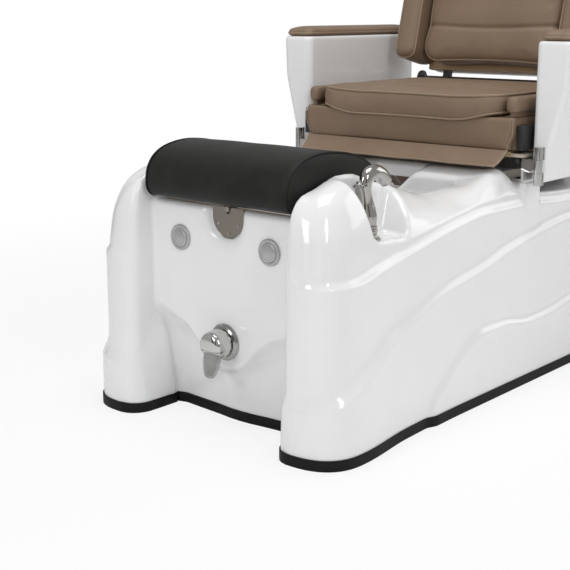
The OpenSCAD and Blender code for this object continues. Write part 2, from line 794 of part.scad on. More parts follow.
// The lever's blade hangs from its pin. Rows give half width, drop and thickness as shares
module mixer_lever() {
    color("silver") front_frame() {
        translate([0, lever_y, lever_pivot_z])
            rotate([0, 90, 0])
                cylinder(r = lever_pin_r, h = lever_w + 4 * lever_pin_r, center = true, $fn = 32);
        translate([0, lever_y, lever_pivot_z])
            fan_loft([for (i = [len(lever_shares) - 1:-1:0])
                let (p = lever_shares[i], w = (lever_w / 2 - seat_gap) * p[0], t = lever_t * p[2],
                    z = lever_l * p[1], y = -lever_l * 0.18 * abs(p[1]))
                [
                    [w, y, z], [w * 0.7, y + t / 2, z], [-w * 0.7, y + t / 2, z], [-w, y, z],
                    [-w * 0.7, y - t / 2, z], [w * 0.7, y - t / 2, z]
                ]]);
    }
}

// Hand sprayer in its holder
spray_x = 259;
spray_y = 224;
holder_r = 25;
holder_t = 7;
collar_r = 18;
collar_h = 14;
holder_seat_h = 24;
spigot_r = 13;
spigot_fit = 0.1;

module sprayer_holder() {
    color("silver") front_frame() translate([spray_x, spray_y, pocket_z + seat_gap])
        rotate_extrude($fn = 48)
            polygon([
                [spigot_r, 0], [holder_r, 0], [holder_r, holder_t * 0.5], [holder_r - holder_t * 0.5, holder_t],
                [collar_r, holder_t], [collar_r, collar_h * 0.85], [collar_r - collar_h * 0.15, collar_h], [spigot_r, collar_h]
            ]);
}

// The handle's path: each row is [y share, z share, half width, half depth] of the sprayer's height
spray_h = 150;
spray_rows = [
    [0, 0.1, 0.1, 0.1], [0, 0.135, 0.11, 0.11], [0, 0.22, 0.115, 0.115], [0, 0.33, 0.11, 0.115],
    [-0.012, 0.44, 0.085, 0.095], [-0.036, 0.55, 0.07, 0.08], [-0.066, 0.65, 0.075, 0.085], [-0.08, 0.74, 0.085, 0.095],
    [-0.052, 0.82, 0.095, 0.1], [0.03, 0.875, 0.1, 0.1], [0.14, 0.885, 0.105, 0.1], [0.25, 0.85, 0.105, 0.1],
    [0.33, 0.79, 0.1, 0.095], [0.37, 0.745, 0.09, 0.08]
];
spray_sides = 16;

function along(rows, i) = let (a = rows[max(0, i - 1)], b = rows[min(len(rows) - 1, i + 1)],
    d = [b[0] - a[0], b[1] - a[1]]) d / norm(d);

function tube_ring(row, dir, h, n) = [for (k = [0:n - 1])
    let (a = 360 * k / n, u = row[2] * h * cos(a), v = row[3] * h * sin(a))
    [u, row[0] * h + v * dir[1], row[1] * h - v * dir[0]]];

module sprayer_body() {
    color("silver") front_frame() translate([spray_x, spray_y, pocket_z]) {
        translate([0, 0, seat_gap])
            cylinder(r = spigot_r - spigot_fit, h = spray_h * 0.14, $fn = 48);
        difference() {
            union() {
                fan_loft([for (i = [0:len(spray_rows) - 1])
                    tube_ring(spray_rows[i], along(spray_rows, i), spray_h, spray_sides)]);
                for (s = [-1, 1])
                    translate([s * lug_x - (s < 0 ? lug_t : 0), trigger_y_share * spray_h, trigger_pin_share * spray_h]) {
                        rotate([0, 90, 0]) cylinder(r = lug_r, h = lug_t, $fn = 32);
                        translate([0, 0, -lug_r]) cube([lug_t, -trigger_y_share * spray_h / 2, 2 * lug_r]);
                    }
            }
            translate([0, trigger_y_share * spray_h, trigger_pin_share * spray_h])
                rotate([0, 90, 0])
                    cylinder(r = trigger_pin_r + lever_fit, h = 4 * lug_x, center = true, $fn = 32);
        }
    }
}

trigger_rows = [
    [-0.165, 0.4, 0.04, 0.02], [-0.18, 0.48, 0.06, 0.026], [-0.196, 0.57, 0.062, 0.028],
    [-0.212, 0.67, 0.06, 0.03], [-0.224, 0.75, 0.052, 0.028], [-0.224, 0.79, 0.04, 0.02]
];
trigger_sides = 10;
trigger_pin_share = 0.74;
trigger_y_share = -0.224;
trigger_pin_r = 2;
lug_t = 3;
lug_x = 9;
lug_r = 4;

module sprayer_trigger() {
    color("silver") front_frame() translate([spray_x, spray_y, pocket_z])
        {
            fan_loft([for (i = [0:len(trigger_rows) - 1])
                tube_ring(trigger_rows[i], along(trigger_rows, i), spray_h, trigger_sides)]);
            translate([0, trigger_y_share * spray_h, trigger_pin_share * spray_h])
                rotate([0, 90, 0])
                    cylinder(r = trigger_pin_r, h = 2 * lug_x + lug_t, center = true, $fn = 32);
        }
}

// Basin fittings: drain, plug, jet housing, impeller and cover, and the niche's dark panel
drain_y = 390;
drain_pipe_r = 24;
drain_flange_r = 44;
drain_flange_t = 4;
drain_bore_r = 19;
drain_l = 70;
plug_lift = 12;
jet_y = 390;
jet_z = 300;
jet_cup_r = 38;
jet_cup_l = 40;
jet_wall = 3;
jet_flange_r = 52;
jet_flange_t = 5;
jet_shaft_r = 4;
jet_blades = 6;
jet_cover_t = 3;
jet_dome = 9;
jet_slots = 10;
jet_x = -basin_w * basin_rows[2][1] + seat_gap;

module drain_flange() {
    color("silver") front_frame() translate([0, drain_y, basin_floor + seat_gap]) difference() {
        union() {
            cylinder(r1 = drain_flange_r, r2 = drain_flange_r - drain_flange_t, h = drain_flange_t, $fn = 64);
            translate([0, 0, -drain_l]) cylinder(r = drain_pipe_r, h = drain_l + over / 10, $fn = 48);
        }
        translate([0, 0, -drain_l - over]) cylinder(r = drain_bore_r, h = drain_l + 2 * over + drain_flange_t, $fn = 48);
    }
}

module drain_plug() {
    color("silver") front_frame() translate([0, drain_y, basin_floor + 2 * seat_gap + drain_flange_t]) {
        cylinder(r1 = drain_flange_r * 0.72, r2 = drain_flange_r * 0.6, h = drain_flange_t, $fn = 64);
        translate([0, 0, -drain_l * 0.4]) cylinder(r = drain_bore_r * 0.3, h = drain_l * 0.4 + over / 10, $fn = 32);
        for (a = [0, 60, 120])
            rotate([0, 0, a])
                translate([-drain_bore_r + cap_fit, -drain_flange_t / 4, -drain_l * 0.3])
                    cube([2 * (drain_bore_r - cap_fit), drain_flange_t / 2, drain_l * 0.3 + over / 10]);
    }
}

module jet_housing() {
    color("gainsboro") front_frame() translate([jet_x, jet_y, jet_z]) rotate([0, 90, 0]) difference() {
        union() {
            cylinder(r = jet_flange_r, h = jet_flange_t, $fn = 64);
            translate([0, 0, -jet_cup_l]) cylinder(r = jet_cup_r, h = jet_cup_l + over / 10, $fn = 64);
        }
        translate([0, 0, -jet_cup_l + jet_wall]) cylinder(r = jet_cup_r - jet_wall, h = 2 * jet_cup_l, $fn = 64);
        translate([0, 0, -jet_cup_l - over]) cylinder(r = jet_shaft_r + lever_fit, h = jet_cup_l, $fn = 32);
    }
}

module jet_impeller() {
    color("white") front_frame() translate([jet_x, jet_y, jet_z]) rotate([0, 90, 0]) {
        translate([0, 0, -jet_cup_l]) cylinder(r = jet_shaft_r, h = jet_cup_l, $fn = 32);
        translate([0, 0, -jet_cup_l * 0.6]) cylinder(r = jet_shaft_r * 2.5, h = jet_cup_l * 0.5, $fn = 32);
        for (i = [0:jet_blades - 1])
            rotate([0, 0, 360 * i / jet_blades])
                translate([jet_shaft_r, -jet_wall / 2, -jet_cup_l * 0.6])
                    cube([jet_cup_r - 2 * jet_wall - jet_shaft_r, jet_wall, jet_cup_l * 0.45]);
    }
}

module jet_cover() {
    color("gainsboro") front_frame() translate([jet_x + jet_flange_t + seat_gap, jet_y, jet_z]) rotate([0, 90, 0])
        difference() {
            cylinder(r1 = jet_flange_r, r2 = jet_flange_r - jet_dome, h = jet_cover_t + jet_dome / 3, $fn = 64);
            translate([0, 0, -over]) cylinder(r = jet_shaft_r, h = 3 * over, $fn = 32);
            for (i = [0:jet_slots - 1])
                rotate([0, 0, 360 * i / jet_slots])
                    translate([jet_cup_r * 0.35, -jet_wall, -over])
                        cube([jet_cup_r * 0.5, 2 * jet_wall, 3 * over]);
        }
}

niche_panel_t = 2;
module niche_panel() {
    color("saddlebrown") front_frame()
        translate([0, basin_rear + niche_d - seat_gap, 0])
            rotate([90, 0, 0])
                linear_extrude(niche_panel_t)
                    niche_outline(-2 * seat_gap, panel_h);
}

// Rear wall: access panel, its screws and the cable gland
access_w = 380;
access_h = 128;
access_z = 206;
access_t = 3;
access_screw_r = 4;
gland_x = 170;
gland_z = 95;
gland_r = 14;
gland_l = 12;
gland_bore_r = 5;
rear_wall_y = rear_face + 2 * ledge_step + seat_gap;

module rear_panel() {
    color("gainsboro") front_frame()
        translate([-access_w / 2, rear_wall_y, access_z])
            cube([access_w, access_t, access_h]);
}

module rear_screws() {
    color("silver") front_frame()
        for (x = [-1, 1], z = [0.15, 0.85])
            translate([x * access_w * 0.46, rear_wall_y + access_t + seat_gap, access_z + access_h * z])
                rotate([-90, 0, 0])
                    cylinder(r1 = access_screw_r, r2 = access_screw_r * 0.7, h = access_screw_r / 2, $fn = 32);
}

module cable_gland() {
    color([0.15, 0.15, 0.15]) front_frame() translate([gland_x, rear_wall_y + ledge_step, gland_z]) rotate([-90, 0, 0])
        difference() {
            cylinder(r1 = gland_r, r2 = gland_r * 0.75, h = gland_l, $fn = 48);
            translate([0, 0, gland_l * 0.3]) cylinder(r = gland_bore_r, h = gland_l, $fn = 32);
        }
}

// Seat: fixed rails, then the sliding frame and everything on it
rail_seat_x = 180;
rail_seat_w = 40;
rail_seat_h = 22;
rail_seat_from = 842;
runner_h = 20;
runner_y = [790, 1172];
frame_y = [762, 1172];
beam_w = 40;
frame_h = 30;
frame_z = platform_h + 2 * seat_gap + rail_seat_h;
frame_top = frame_z + runner_h + frame_h;
pan_t = 12;
pan_inset = 18;
base_z = frame_top + pan_t + 2 * seat_gap;
base_top = 621;
seat_rear = seat_front + seat_d;
panel_t = 26;
panel_low_w = 572;
panel_low = 549;
flap_low = 512;
flap_y = 664;
flap_w = 552;
flap_t = 5;
cushion_w = 536;
cushion_low = base_top + seat_gap;
side_pad_w = 30;
side_pad_low = 630;
side_pad_top = 668;
pad_gap = 2;
side_foot_in = 9;
side_pad_x = [cushion_w / 2 + pad_gap, seat_w / 2];
side_pad_y = [seat_front + 12, seat_rear - beam_w];

module seat_rails() {
    color("silver") front_frame()
        for (s = [-1, 1])
            translate([s * rail_seat_x - rail_seat_w / 2, rail_seat_from, platform_h + seat_gap])
                cube([rail_seat_w, runner_y[1] + seat_travel - rail_seat_from, rail_seat_h]);
}

module seat_frame() {
    color("dimgray") front_frame() {
        for (s = [-1, 1])
            translate([s * rail_seat_x - rail_seat_w / 2, runner_y[0], frame_z])
                cube([rail_seat_w, runner_y[1] - runner_y[0], runner_h]);
        for (y = [frame_y[0], (frame_y[0] + frame_y[1] - beam_w) / 2, frame_y[1] - beam_w])
            translate([-seat_w / 2 + pan_inset, y, frame_z + runner_h])
                cube([seat_w - 2 * pan_inset, beam_w, frame_h]);
        for (s = [-1, 1])
            translate([s * (seat_w / 2 - pan_inset) - (s > 0 ? beam_w : 0), frame_y[0], frame_z + runner_h])
                cube([beam_w, frame_y[1] - frame_y[0], frame_h]);
    }
}

module seat_pan() {
    color("burlywood") front_frame()
        translate([-seat_w / 2 + pan_inset, seat_front + panel_t, frame_top + seat_gap])
            cube([seat_w - 2 * pan_inset, seat_d - panel_t, pan_t]);
}

// An upright block with round corners in plan and eased edges above and below
pad_ease = 7;
crown_share = 0.4;
function pad_rings(x, y, z, r, low_ease, high_ease, crown) = let (e = pad_ease) concat(
    [for (q = [[e * low_ease, 0], [e * low_ease * 0.35, e * 0.35 * low_ease], [0, e * low_ease]])
        block_ring(x, y, r, q[0], z[0] + q[1])],
    [for (q = [[0, e * high_ease], [e * high_ease * 0.35, e * 0.35 * high_ease], [e * high_ease, 0]])
        block_ring(x, y, r, q[0], z[1] - q[1])],
    crown > 0 ? [for (q = [[0.25, 0.45], [0.5, 0.8], [0.8, 1]])
        block_ring(x, y, r, e * high_ease + q[0] * min(x[1] - x[0], y[1] - y[0]) * crown_share, z[1] + crown * q[1])]
        : []
);
function block_ring(x, y, r, inset, z) =
    let (x0 = x[0] + inset, x1 = x[1] - inset, y0 = y[0] + inset, y1 = y[1] - inset,
        q = max(pad_ease, min(r, (x1 - x0) / 3, (y1 - y0) / 3)))
    [for (c = [[x1 - q, y0 + q, -90], [x1 - q, y1 - q, 0], [x0 + q, y1 - q, 90], [x0 + q, y0 + q, 180]],
        i = [0:corner_points])
        let (a = c[2] + 90 * i / corner_points)
        [c[0] + q * cos(a), c[1] + q * sin(a), z]];

seat_corner_r = 44;
small_corner_r = 12;
cushion_crown = 10;
leather = [0.49, 0.42, 0.36];

module seat_base() {
    color(leather) front_frame()
        fan_loft(pad_rings([-seat_w / 2, seat_w / 2], [seat_front + panel_t + seat_gap, seat_rear],
            [base_z, base_top], small_corner_r, 1, 1, 0));
}

module seat_front_panel() {
    color(leather) front_frame()
        fan_loft([for (q = [[0, 0], [0.06, 1], [0.5, 1.3], [0.94, 1], [1, 0]])
            let (z = mix(panel_low, base_top - pad_ease, q[0]), w = mix(panel_low_w, seat_w, ease(q[0] * 1.6)) / 2,
                y = seat_front + pad_ease * (1.3 - q[1]) * 0.5, r = small_corner_r)
            block_ring([-w, w], [y, seat_front + panel_t], r, 0, z)]);
}

// The flap hangs below the front panel and slants towards the basin
module seat_flap() {
    color(leather) front_frame()
        fan_loft([for (q = [0, 0.5, 1])
            let (w = mix(flap_w, panel_low_w, q) / 2, y = mix(flap_y, seat_front, q),
                z = mix(flap_low, panel_low - seat_gap, pow(q, 1.3)))
            [for (s = [0:8])
                let (u = s <= 4 ? 1 - s / 2 : (s - 4) / 2 - 1)
                [w * u, y + (s <= 4 ? flap_t * 2 : 0), z + (q == 1 ? 0 : (s <= 4 ? flap_t : 0))]]]);
}

module seat_cushion() {
    color(leather) front_frame()
        fan_loft(pad_rings([-cushion_w / 2, cushion_w / 2], [seat_front - pad_ease, seat_rear - beam_w],
            [cushion_low, seat_h - cushion_crown], seat_corner_r, 1, 1.6, cushion_crown));
}

module seat_side_pads() {
    color(leather) front_frame()
        for (s = [-1, 1])
            mirror([s < 0 ? 1 : 0, 0, 0])
                fan_loft(concat(
                    [for (z = [base_top + seat_gap, side_pad_low - seat_gap])
                        block_ring(side_pad_x, side_pad_y, small_corner_r, side_foot_in, z)],
                    pad_rings(side_pad_x, side_pad_y, [side_pad_low, side_pad_top], small_corner_r, 1, 1, 0)));
}

side_box_x = [seat_w / 2 - pan_inset + seat_gap, seat_w / 2 + 16];
side_box = [[722, 860], [548, 604]];
bracket_t = 8;
bracket_y = [728, 800];
knob_r = 11;
knob_h = 14;
knob_x = 293;

module seat_side_boxes() {
    color([0.1, 0.1, 0.1]) front_frame()
        for (s = [-1, 1])
            mirror([s < 0 ? 1 : 0, 0, 0])
                translate([seat_w / 2 + seat_gap, side_box[0][0], side_box[1][0]])
                    cube([side_box_x[1] - seat_w / 2, side_box[0][1] - side_box[0][0], side_box[1][1] - side_box[1][0]]);
}

module seat_brackets() {
    color("tan") front_frame()
        for (s = [-1, 1])
            mirror([s < 0 ? 1 : 0, 0, 0])
                translate([side_box_x[0], bracket_y[0], side_box[1][0] - seat_gap - 2 * bracket_t])
                    cube([side_box_x[1] - side_box_x[0], bracket_y[1] - bracket_y[0], bracket_t]);
}

module bracket_knobs() {
    color([0.08, 0.08, 0.08]) front_frame()
        for (s = [-1, 1], y = [bracket_y[0] + knob_r + pad_gap, bracket_y[1] - knob_r - pad_gap])
            translate([s * knob_x, y, side_box[1][0] - 2 * bracket_t - 2 * seat_gap - knob_h])
                cylinder(r = knob_r, h = knob_h, $fn = 40);
}

// Backrest: it turns on a pin through two plates on the seat's rear
pivot_y = 1172;
pivot_z = 668;
pivot_r = 8;
pivot_fit = 0.05;
hinge_plate_x = 262;
hinge_plate_t = 6;
hinge_plate_w = 44;
back_w = 500;
back_low = 22;
board_back_t = 18;
cover_t = 26;
back_pad_t = 92;
back_pad_z = [26, 0.52, 0.98];
wing_w = 46;
wing_t = 120;
pillow_w = 280;
pillow_h = 130;
pillow_t = 60;

module hinge_plates() {
    color("dimgray") front_frame()
        for (s = [-1, 1])
            translate([s * hinge_plate_x - hinge_plate_t / 2, pivot_y, 0]) difference() {
                union() {
                    translate([0, -hinge_plate_w / 2, base_top + seat_gap])
                        cube([hinge_plate_t, hinge_plate_w, pivot_z - base_top - seat_gap]);
                    translate([0, 0, pivot_z]) rotate([0, 90, 0]) cylinder(d = hinge_plate_w, h = hinge_plate_t, $fn = 48);
                }
                translate([-over, 0, pivot_z]) rotate([0, 90, 0])
                    cylinder(r = pivot_r + pivot_fit, h = hinge_plate_t + 2 * over, $fn = 48);
            }
}

// Places what is drawn upright at the backrest's pivot, leaning back
module back_place() {
    front_frame() translate([0, pivot_y, pivot_z]) rotate([-back_lean, 0, 0]) children();
}

module back_frame() {
    color("dimgray") back_place() {
        rotate([0, 90, 0]) cylinder(r = pivot_r, h = 2 * (hinge_plate_x + hinge_plate_t), center = true, $fn = 48);
        for (s = [-1, 1])
            translate([s * back_w * 0.36 - beam_w / 4, -pivot_r, 0])
                cube([beam_w / 2, 2 * pivot_r, back_h * 0.9]);
        for (z = [0.3, 0.85])
            translate([-back_w * 0.36, -pivot_r, back_h * z])
                cube([back_w * 0.72, 2 * pivot_r, beam_w / 2]);
    }
}

// Turns a block lying on its back upright, so that its crown faces the client
module upright() {
    rotate([90, 0, 0]) children();
}

module back_board() {
    color("burlywood") back_place()
        translate([-back_w / 2 + wing_w / 2, -pivot_r - seat_gap - board_back_t, back_low])
            cube([back_w - wing_w, board_back_t, back_h * 0.96 - back_low]);
}

back_corner_r = 60;
module back_cover() {
    color("whitesmoke") back_place() translate([0, pivot_r + seat_gap + cover_t, 0]) upright()
        fan_loft(pad_rings([-back_w / 2 - wing_w / 2, back_w / 2 + wing_w / 2], [back_low, back_h],
            [0, cover_t], back_corner_r, 2, 0.5, 0));
}

module back_cushion() {
    color(leather) back_place() translate([0, -pivot_r - 2 * seat_gap - board_back_t, 0]) upright()
        fan_loft(pad_rings([-back_w / 2 + wing_w, back_w / 2 - wing_w], [back_pad_z[0], back_h * back_pad_z[1]],
            [0, back_pad_t], seat_corner_r, 0.5, 2, cushion_crown));
}

module back_upper_cushion() {
    color(leather) back_place() translate([0, -pivot_r - 2 * seat_gap - board_back_t, 0]) upright()
        fan_loft(pad_rings([-back_w / 2 + wing_w, back_w / 2 - wing_w],
            [back_h * back_pad_z[1] + pad_gap, back_h * back_pad_z[2]],
            [0, back_pad_t * 0.85], seat_corner_r, 0.5, 2, cushion_crown));
}

module back_side_bolsters() {
    color(leather) back_place() translate([0, -pivot_r - 2 * seat_gap - board_back_t, 0])
        for (s = [0, 1])
            mirror([s, 0, 0]) upright()
                fan_loft(pad_rings([back_w / 2 - wing_w + pad_gap, back_w / 2 + wing_w / 2],
                    [back_pad_z[0], back_h * back_pad_z[2]], [0, wing_t], small_corner_r * 2, 0.5, 2, 0));
}

module head_pillow() {
    color(leather) back_place()
        translate([0, -pivot_r - 3 * seat_gap - board_back_t - back_pad_t * 0.85 - cushion_crown, 0]) upright()
            fan_loft(pad_rings([-pillow_w / 2, pillow_w / 2],
                [back_h * back_pad_z[2] - pillow_h - small_corner_r, back_h * back_pad_z[2] - small_corner_r],
                [0, pillow_t - cushion_crown], seat_corner_r, 1, 2, cushion_crown));
}

// Arms: each shell flares outwards as it rises and swings out on a chrome hinge
arm_low = 474;
arm_in_gap = 26;
arm_in = hinge_x - arm_in_gap;
arm_out_gap = 6;
arm_low_out = hinge_x + arm_out_gap;
arm_flare = 14;
arm_flare_top = 690;
arm_corner_r = 16;
arm_front = 748.5;
arm_pad_h = 26;
knuckle_r = 9.5;
knuckle_z = [471, 558];
knuckle_gap = 0.5;
pin_r = 4;
pin_fit = 0.05;
leaf_t = 2.5;
bracket_foot_t = 6;
bracket_foot_w = 40;

function arm_out(z) = arm_low_out + (min(z, arm_flare_top) - arm_low) * tan(arm_flare)
    + (max(z, arm_flare_top) - arm_flare_top) * tan(arm_flare / 4);
arm_top = arm_h - arm_pad_h;
arm_row_shares = [[0, 7], [0.012, 2], [0.035, 0], [0.3, 0], [0.67, 0], [0.85, 0], [0.975, 0], [1, 2]];

module arm_shell() {
    fan_loft([for (q = arm_row_shares)
        let (z = mix(arm_low, arm_top, q[0]))
        block_ring([arm_in, arm_out(z)], [arm_front, arm_front + arm_l], arm_corner_r, q[1], z)]);
}

module arm_pad() {
    fan_loft(pad_rings([arm_in + pad_gap, arm_out(arm_top) - pad_gap], [arm_front + pad_gap, arm_front + arm_l - pad_gap],
        [arm_top + seat_gap, arm_h - cushion_crown / 2], arm_corner_r * 1.5, 0.5, 1.2, cushion_crown / 2));
}

// Hinge: the outer knuckles and the pin are on the arm, and the middle one is on the base
function knuckle_at(k) = mix(knuckle_z[0], knuckle_z[1], k / 3);

module arm_hinge() {
    translate([hinge_x, hinge_y, 0]) {
        for (k = [0, 2])
            translate([0, 0, knuckle_at(k) + knuckle_gap])
                cylinder(r = knuckle_r, h = knuckle_at(1) - knuckle_at(0) - 2 * knuckle_gap, $fn = 48);
        translate([0, 0, knuckle_at(0) + knuckle_gap])
            cylinder(r = pin_r, h = knuckle_at(3) - knuckle_at(0) - 2 * knuckle_gap, $fn = 48);
        for (k = [0, 2])
            translate([-knuckle_r, arm_front - hinge_y - leaf_t - seat_gap, knuckle_at(k) + knuckle_gap])
                cube([2 * knuckle_r, leaf_t, knuckle_at(1) - knuckle_at(0) - 2 * knuckle_gap]);
    }
}

module base_hinge() {
    difference() {
        union() {
            translate([hinge_x, hinge_y, knuckle_at(1)])
                cylinder(r = knuckle_r, h = knuckle_at(1) - knuckle_at(0), $fn = 48);
            translate([boss_x[1] - bracket_foot_t, hinge_y - bracket_foot_t, knuckle_at(1)])
                cube([hinge_x - boss_x[1] + bracket_foot_t, bracket_foot_t, knuckle_at(1) - knuckle_at(0)]);
            translate([boss_x[1] - bracket_foot_t, hinge_y - bracket_foot_t, boss_h + seat_gap])
                cube([bracket_foot_t, boss_y[1] - hinge_y, knuckle_at(2) - boss_h - seat_gap]);
            translate([boss_x[1] - bracket_foot_w, boss_y[0], boss_h + seat_gap])
                cube([bracket_foot_w, boss_y[1] - boss_y[0] - bracket_foot_t, bracket_foot_t]);
        }
        translate([hinge_x, hinge_y, 0]) cylinder(r = pin_r + pin_fit, h = shoulder_h, $fn = 48);
    }
}

module side_of(s) {
    front_frame() mirror([s < 0 ? 1 : 0, 0, 0]) children();
}

base_shell();
basin_tub();
skirting();
base_frame();
levelling_feet();
bracket_plate();
plate_rivets();
lock_screw();
footrest_pad();
footrest_board();
footrest_stem();
button_bezel(-1);  // button_bezel_left
button_bezel(1);  // button_bezel_right
button_cap(-1);  // button_cap_left
button_cap(1);  // button_cap_right
mixer_escutcheon();
mixer_valve();
mixer_hub();
mixer_lever();
sprayer_holder();
sprayer_body();
sprayer_trigger();
drain_flange();
drain_plug();
jet_housing();
jet_impeller();
jet_cover();
niche_panel();
rear_panel();
rear_screws();
cable_gland();
seat_rails();
color("silver") side_of(-1) base_hinge();  // base_hinge_left
color("silver") side_of(1) base_hinge();  // base_hinge_right
seat_frame();
seat_pan();
seat_base();
seat_front_panel();
seat_flap();
seat_cushion();
seat_side_pads();
seat_side_boxes();
seat_brackets();
bracket_knobs();
hinge_plates();
back_frame();
back_board();
back_cover();
back_cushion();
back_upper_cushion();
back_side_bolsters();
head_pillow();
color("white") side_of(-1) arm_shell();  // arm_shell_left
color("white") side_of(1) arm_shell();  // arm_shell_right
color(leather) side_of(-1) arm_pad();  // arm_pad_left
color(leather) side_of(1) arm_pad();  // arm_pad_right
color("silver") side_of(-1) arm_hinge();  // arm_hinge_left
color("silver") side_of(1) arm_hinge();  // arm_hinge_right
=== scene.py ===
import math

import bmesh
import bpy
import numpy as np
from mathutils import Matrix, Vector
from mathutils.bvhtree import BVHTree


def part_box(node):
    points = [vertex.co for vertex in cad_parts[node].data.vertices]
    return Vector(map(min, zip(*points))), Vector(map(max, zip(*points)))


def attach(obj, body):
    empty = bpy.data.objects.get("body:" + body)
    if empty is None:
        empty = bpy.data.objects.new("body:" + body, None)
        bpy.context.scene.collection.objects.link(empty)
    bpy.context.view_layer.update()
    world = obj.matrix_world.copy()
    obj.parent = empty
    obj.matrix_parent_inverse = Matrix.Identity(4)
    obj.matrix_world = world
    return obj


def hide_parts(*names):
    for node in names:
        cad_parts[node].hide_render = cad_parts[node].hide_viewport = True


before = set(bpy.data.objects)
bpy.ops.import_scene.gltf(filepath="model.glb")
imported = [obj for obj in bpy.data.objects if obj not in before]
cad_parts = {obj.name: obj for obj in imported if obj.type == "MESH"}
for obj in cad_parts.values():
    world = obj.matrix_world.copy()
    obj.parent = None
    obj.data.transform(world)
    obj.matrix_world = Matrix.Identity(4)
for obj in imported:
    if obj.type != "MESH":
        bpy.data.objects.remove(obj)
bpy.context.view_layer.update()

# Moulded base. One thin shell of glossy white acrylic, drawn over a mould: two front columns,
# three flowing ledges along each side, the foot basin, the sprayer's scoop and the seat's deck.
# Its walls are rows of points swept round the plan, and the hollows are cut and their rims softened.
FRONT = 0.650
BASE_L, BASE_W = 1.300, 0.676
SHOULDER, LEDGE, LOW_LEDGE, STEP, COVE = 0.545, 0.350, 0.108, 0.010, 0.024
FOOT_DROP, FOOT_COVE = 0.006, 0.070
TOP_W = BASE_W / 2 - 0.003 - 2 * STEP
FRONT_FACE = 0.003 + 2 * STEP * 0.6
COLUMN_R, REAR_R = 0.073, 0.110
COLUMN_X, COLUMN_Y = TOP_W - COLUMN_R, FRONT_FACE + 0.085
REAR_FACE = BASE_L - 0.003 - 2 * STEP
SIDE_END = REAR_FACE - REAR_R
PLATFORM, DECK_W = 0.458, 0.196
JOIN_Y = BASE_L * .265
SIDES = (("left", -1), ("right", 1))

UPPER = [(0, 0), (.08, 0), (.14, .022), (.2, .043), (.26, .068), (.33, .1), (.39, .121), (.45, .136), (.56, .134),
         (.72, .11), (1, .085)]
LOWER = [(0, 0), (.014, .01), (.035, .03), (.065, .068), (.115, .13), (.165, .193), (.235, .25), (.335, .322),
         (.43, .358), (.525, .41), (.64, .452), (.72, .473), (1, .49)]
THIRD = [(.262, 0), (.275, .058), (.32, .152), (.372, .24), (.41, .283), (.436, .3), (.5, .298), (.595, .27),
         (.673, .277), (.742, .3), (1, .31)]
CREST = [(0, .955), (.09, .957), (.134, .985), (.173, 1), (.23, .968), (.3, .91), (.365, .872), (.457, .868),
         (.5, .885), (.54, .92), (.575, .92), (.61, .86), (.63, .84), (1, .84)]
LIP = [(-.14, 0), (-.05, .02), (.02, .09), (.08, .21), (.16, .38), (.27, .57), (.42, .76), (.6, .90), (.8, .975),
       (1, 1)]
DECK_IN = [.05, .11, .18, .28, .42, .6, .8, 1]
DOME_UP = [.34, .53, .68, .81, .91, .97, .995, 1]
DECK_UP = [.06, .14, .24, .38, .56, .76, .92, 1]
BUMP = [.35, .72, .95, 1, .8, .45, .15, 0]


def mix(a, b, t):
    return a + (b - a) * t


def ramp(a, b, v):
    t = min(1.0, max(0.0, (v - a) / (b - a)))
    return t * t * (3 - 2 * t)


def smooth_at(table, v):
    """The height at v on a smooth line through the table's points."""
    xs = [p[0] for p in table]
    v = min(max(v, xs[0]), xs[-1])
    i = max(0, min(len(xs) - 2, int(np.searchsorted(xs, v)) - 1))
    slope = []
    for k in (i, i + 1):
        lo, hi = max(0, k - 1), min(len(xs) - 1, k + 1)
        left = (table[k][1] - table[lo][1]) / max(1e-9, xs[k] - xs[lo]) if k > lo else None
        right = (table[hi][1] - table[k][1]) / max(1e-9, xs[hi] - xs[k]) if hi > k else None
        if left is None or right is None:
            slope.append(right if left is None else left)
        else:
            slope.append(0.0 if left * right <= 0 else 2 * left * right / (left + right))
    h = xs[i + 1] - xs[i]
    t = (v - xs[i]) / h
    a, b = table[i][1], table[i + 1][1]
    return ((2 * t**3 - 3 * t**2 + 1) * a + (t**3 - 2 * t**2 + t) * h * slope[0]
            + (3 * t**2 - 2 * t**3) * b + (t**3 - t**2) * h * slope[1])


def upper_z(y):
    return LEDGE + SHOULDER * smooth_at(UPPER, y / BASE_L)


def wall_rows(y):
    """Heights of the side wall at y, from the floor up, each with how far it stands out. Each ledge is a
    lip with a cove above it. Round the columns the lowest cove is long and soft, and swells out the foot."""
    u = upper_z(y)
    low = min(LOW_LEDGE + SHOULDER * smooth_at(LOWER, y / BASE_L), u - 1.4 * COVE)
    third = max(SHOULDER * smooth_at(THIRD, y / BASE_L), 0.0112)
    out = (2 + ramp(JOIN_Y, BASE_L * .29, y)) * STEP
    near = 1 - ramp(COLUMN_Y, BASE_L * .22, y)
    ledges = ((third, COVE, out, 2 * STEP),
              (low - FOOT_DROP * near, mix(COVE, FOOT_COVE, near), 2 * STEP, STEP),
              (u, COVE, STEP, 0.0))
    rows = [(.006, out)]
    for z, tall, below, above in ledges:
        if len(rows) > 1:
            rows.append(((rows[-1][0] + z + LIP[0][0] * tall) / 2, below))
        rows += [(z + at * tall, mix(below, above, gone)) for at, gone in LIP]
    return rows


def lip_gone(share):
    """How much of a ledge's step is gone at this share of the height of the cove above it."""
    return float(np.interp(share, *zip(*LIP)))


def wall_w(y):
    return TOP_W - .012 * ramp(COLUMN_Y, BASE_L * .21, y)


CORNER, SIDE, REAR, SQUARE = 28, 110, 20, .78


def front_of(out):
    """Where a tier's front stands: the foot comes well forward of the two tiers above it."""
    return float(np.interp(out, (0, STEP, 2 * STEP), (.0185, .0140, .0030)))


